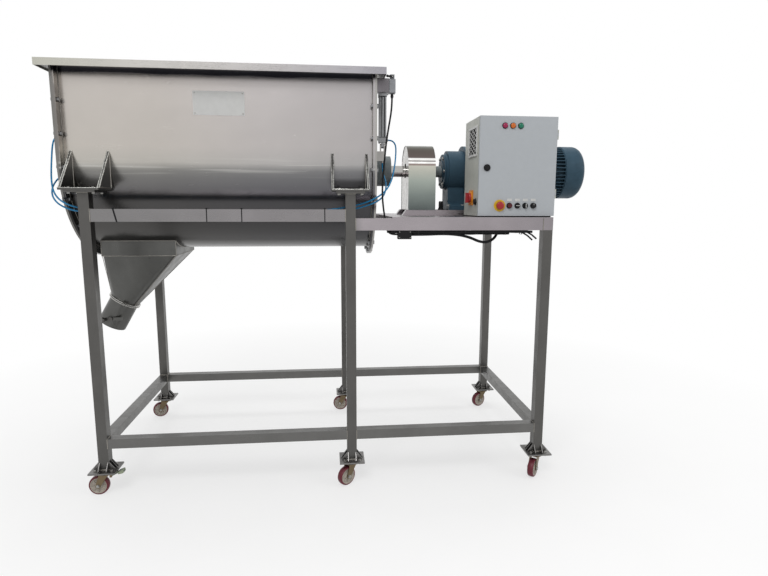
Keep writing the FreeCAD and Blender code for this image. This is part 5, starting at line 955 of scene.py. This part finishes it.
# Main switch, plug, valve box and the gear behind the door
gear = Piece("cabinet_gear", "base", "grey_plastic", GALVANISED, GREY, BLACK, ORANGE, TAG, BOLT, LAMP_AMBER,
             soft=0.8)
gear.box((702.5, -248, 1437), (1052.5, -245, 1880))
gear.use(GREY)
gear.box((722.5, -388, 1672), (872.5, -248, 1862))
gear.use(BLACK)
gear.box((732.5, -389.5, 1762), (862.5, -388, 1852))
gear.box((736.5, -389, 1680), (858.5, -388, 1706))
for z in range(1712, 1756, 7):
    gear.box((740, -388.6, z), (855, -387.5, z + 3))
gear.use(BOLT)
for x in range(744, 856, 14):
    gear.lathe((x, -389, 1693), FRONT, [(0, 4.2), (0.8, 4.2), (0.8, 0)], 16)
for x in (907.5, 962.5):
    gear.use(BLACK)
    gear.box((x, -328, 1712), (x + 46, -248, 1797))
    gear.use(GREY)
    gear.box((x + 6, -332, 1736), (x + 40, -328, 1774))
    gear.use(BOLT)
    for step in (9, 23, 37):
        for z in (1722, 1787):
            gear.lathe((x + step, -328, z), FRONT, [(0, 4), (1, 4), (1, 0)], 16)
gear.use(TAG)
for number in range(14):
    x = 737.5 + number * 18.6
    gear.box((x, -318, 1562), (x + 17.6, -248, 1622))
gear.use(BLACK)
for number in range(14):
    x = 737.5 + number * 18.6
    gear.box((x + 5, -324, 1584), (x + 12.6, -318, 1600))
for number in range(24):
    x = 722.5 + number * 12.5
    gear.use(LAMP_AMBER if number > 20 else GREY)
    gear.box((x, -298, 1472), (x + 11.7, -248, 1517))
gear.use(ORANGE)
gear.box((673.5, -429, 1465), (677.5, -351, 1543))
gear.lathe((673.5, -390, 1504), LEFT, [(0, 33), (2, 33), (2.5, 32), (2.5, 5.5)], 56)
gear.use(BLACK)
gear.lathe((677.5, -482, 1483), LEFT, [(0, 20), (2, 20), (2.6, 17), (11, 16), (12, 14.5), (12, 0)], 6)
gear.box((268.5, -550, 1296), (335.5, -504, 1340))
gear.box((270.5, -551.6, 1300), (333.5, -550, 1336))
gear.use(BOLT)
for x in (275, 329):
    for z in (1304, 1332):
        gear.lathe((x, -551.6, z), FRONT, [(0, 2.4), (0.8, 2.4), (0.8, 0)], 16)
gear.make(replaces=("panel_gear",))

switch = Piece("main_switch_handle", "isolator", "red_plastic", RED, BLACK, soft=1.0)
switch.lathe((670.8, -390, 1504), LEFT, [(0, 25), (8, 25), (10, 23.6), (10.5, 21), (10.5, 0)], 48)
switch.box((645, -399, 1478), (662, -381, 1530))
switch.use(BLACK)
switch.pin((687, -390, 1504), LEFT, 5, 14)
switch.make(replaces=("main_switch",))

# Dark strip in the rubber finish in the gap under the cabinet, standing in for the shadow there as painted shade
gap_shade = Piece("cabinet_gap_shade", "base", "rubber", RUBBER, soft=0.4)
gap_shade.box((684, -508, 1406.3), (1071, -502, 1411.7))
gap_shade.make()

# The beams' end skins lap over the tops of the right legs
laps = Piece("beam_laps", "base", "frame_steel", RAIL, soft=0.2)
for hand in (-1, 1):
    for x, near, far in ((1016.3, 552, 552.8), (1066.5, 502, 552)):
        low, high = sorted((hand * near, hand * far))
        laps.box((x, low, DECK_BEAM[0]), (1067.2, high, 1405.8))
laps.make()

# Cables clipped under the deck's front beam
bundle = Piece("beam_cables", "base", "cable_black", CABLE, BLACK, soft=0)
for y, z, start, end, radius in ((-541, 1332, 236, 962, 6.4), (-528, 1332.6, 214, 905, 6.4),
                                 (-517, 1333.2, 236, 948, 5.4), (-535, 1322.5, 352, 842, 5.4)):
    steps = 26
    run = [(start + (end - start) * s / steps, y + chance.uniform(-1.2, 1.2), z + chance.uniform(-0.9, 0.9))
           for s in range(steps + 1)]
    bundle.tube(run, radius)
bundle.use(BLACK)
for x in (252, 372, 498, 612, 700, 818, 905):
    bundle.box((x - 2.4, -547, 1320), (x + 2.4, -545.6, DECK_BEAM[0]))
    bundle.box((x - 2.4, -547, 1319), (x + 2.4, -513, 1320.4))
    bundle.box((x - 2.4, -514.4, 1320), (x + 2.4, -513, DECK_BEAM[0]))
for begin, end in (((905, -543, 1331), (962, -546, 1290)), ((930, -540, 1333), (985, -543, 1296))):
    middle = (Vector(begin) + Vector(end)) / 2 + Vector((3, 0, 2))
    bundle.tube([begin, middle, end], 4.2)
bundle.make()

# Limit switch: folded bracket, cast body with its cover, head and ribbed gland
limit = Piece("switch_box", "base", "cable_black", BRACKET, SILVER, BLACK, BOLT, soft=0.8)
limit.box((168.5, -468, 2079), (228.5, -436, 2082))
limit.box((168.5, -468, 2016), (228.5, -436, 2019))
limit.box((225.5, -468, 2019), (228.5, -436, 2079))
limit.box((168.5, -468, 2019), (225.5, -465, 2079))
limit.use(SILVER)
limit.box((228.5, -466, 2012), (260.5, -435, 2080))
limit.box((230.5, -469, 2015), (258.5, -466, 2077))
limit.box((233.5, -463, 2080), (255.5, -441, 2102))
limit.use(BOLT)
for x in (233, 256):
    for z in (2018, 2074):
        limit.lathe((x, -469, z), FRONT, [(0, 1.8), (0.5, 1.6), (0.5, 0)], 16)
limit.lathe((244.5, -463, 2091), FRONT, [(0, 4.5), (5, 4.5), (5, 3.4), (11, 3.4), (11, 0)], 24)
limit.use(BLACK)
gland = [(0, 8), (3, 8), (3, 7), (9, 7), (9, 7.8), (14, 7.8), (22, 5.6), (22, 4.6)]
limit.lathe((244.5, -452, 2012), DOWN, gland, 8)
limit.make(replaces=("limit_switch",))


scene.view_settings.view_transform = "Standard"


# Stage: a pale floor that keeps the shadow, a white surround and soft lamps
def white_to_the_eye(tree):
    """1 for camera, mirror and glass rays, which see the background as white, and 0 for the rest."""
    path = tree.nodes.new("ShaderNodeLightPath")
    highest = path.outputs["Is Camera Ray"]
    for ray in ("Is Glossy Ray", "Is Transmission Ray"):
        larger = tree.nodes.new("ShaderNodeMath")
        larger.operation = "MAXIMUM"
        tree.links.new(highest, larger.inputs[0])
        tree.links.new(path.outputs[ray], larger.inputs[1])
        highest = larger.outputs[0]
    return highest


world = bpy.data.worlds.new("surround")
scene.world = world
world.use_nodes = True
surround = world.node_tree
background = next(n for n in surround.nodes if n.type == "BACKGROUND")
background.inputs["Color"].default_value = (1, 1, 1, 1)
seen = white_to_the_eye(surround)
level = surround.nodes.new("ShaderNodeMapRange")
level.inputs["To Min"].default_value = 0.45
level.inputs["To Max"].default_value = 1.0
surround.links.new(seen, level.inputs["Value"])
surround.links.new(level.outputs["Result"], background.inputs["Strength"])

floor_mesh = bpy.data.meshes.new("floor")
floor_mesh.from_pydata([(-14, -14, 0), (14, -14, 0), (14, 14, 0), (-14, 14, 0)], [], [(0, 1, 2, 3)])
floor = bpy.data.objects.new("floor", floor_mesh)
scene_objects.link(floor)
FLOOR_PALE = (0.86, 0.86, 0.855)
ground = Finish("floor_pale", FLOOR_PALE, 0.0, 0.7)
floor_marks = ground.spread(ground.noise(3, 5), 0.3, 0.7)
ground.paint(ground.mix(floor_marks, FLOOR_PALE, (0.83, 0.83, 0.825)))
glow = ground.node("Emission")
blend = ground.node("MixShader")
middle = ground.node("VectorMath", operation="LENGTH")
ground.link(ground.place, middle.inputs[0])
reach = ground.spread(middle.outputs["Value"], 1.2, 3.6, 0.62, 1.0)
ground.link(ground.combine(reach, white_to_the_eye(ground.tree)), blend.inputs["Fac"])
ground.link(ground.shader.outputs[0], blend.inputs[1])
ground.link(glow.outputs[0], blend.inputs[2])
surface = next(n for n in ground.tree.nodes if n.type == "OUTPUT_MATERIAL").inputs["Surface"]
ground.link(blend.outputs[0], surface)
floor_mesh.materials.append(ground.material)


def lamp(name, place, target, size, power):
    data = bpy.data.lights.new(name, "AREA")
    data.shape = "RECTANGLE"
    data.size, data.size_y = size
    data.energy = power
    thing = bpy.data.objects.new(name, data)
    thing.location = place
    thing.rotation_euler = (Vector(target) - Vector(place)).to_track_quat("-Z", "Y").to_euler()
    scene_objects.link(thing)
    return thing


lamp("key", (-1.2, -4.6, 5.4), (0, 0, 1.2), (3.0, 2.4), 170)
lamp("fill", (4.2, -2.4, 3.6), (0.3, 0, 1.2), (2.0, 2.0), 45)
top_lamp = lamp("top", (0, 0.6, 5.0), (0, 0, 1), (4.0, 2.4), 110)
top_lamp.visible_glossy = False
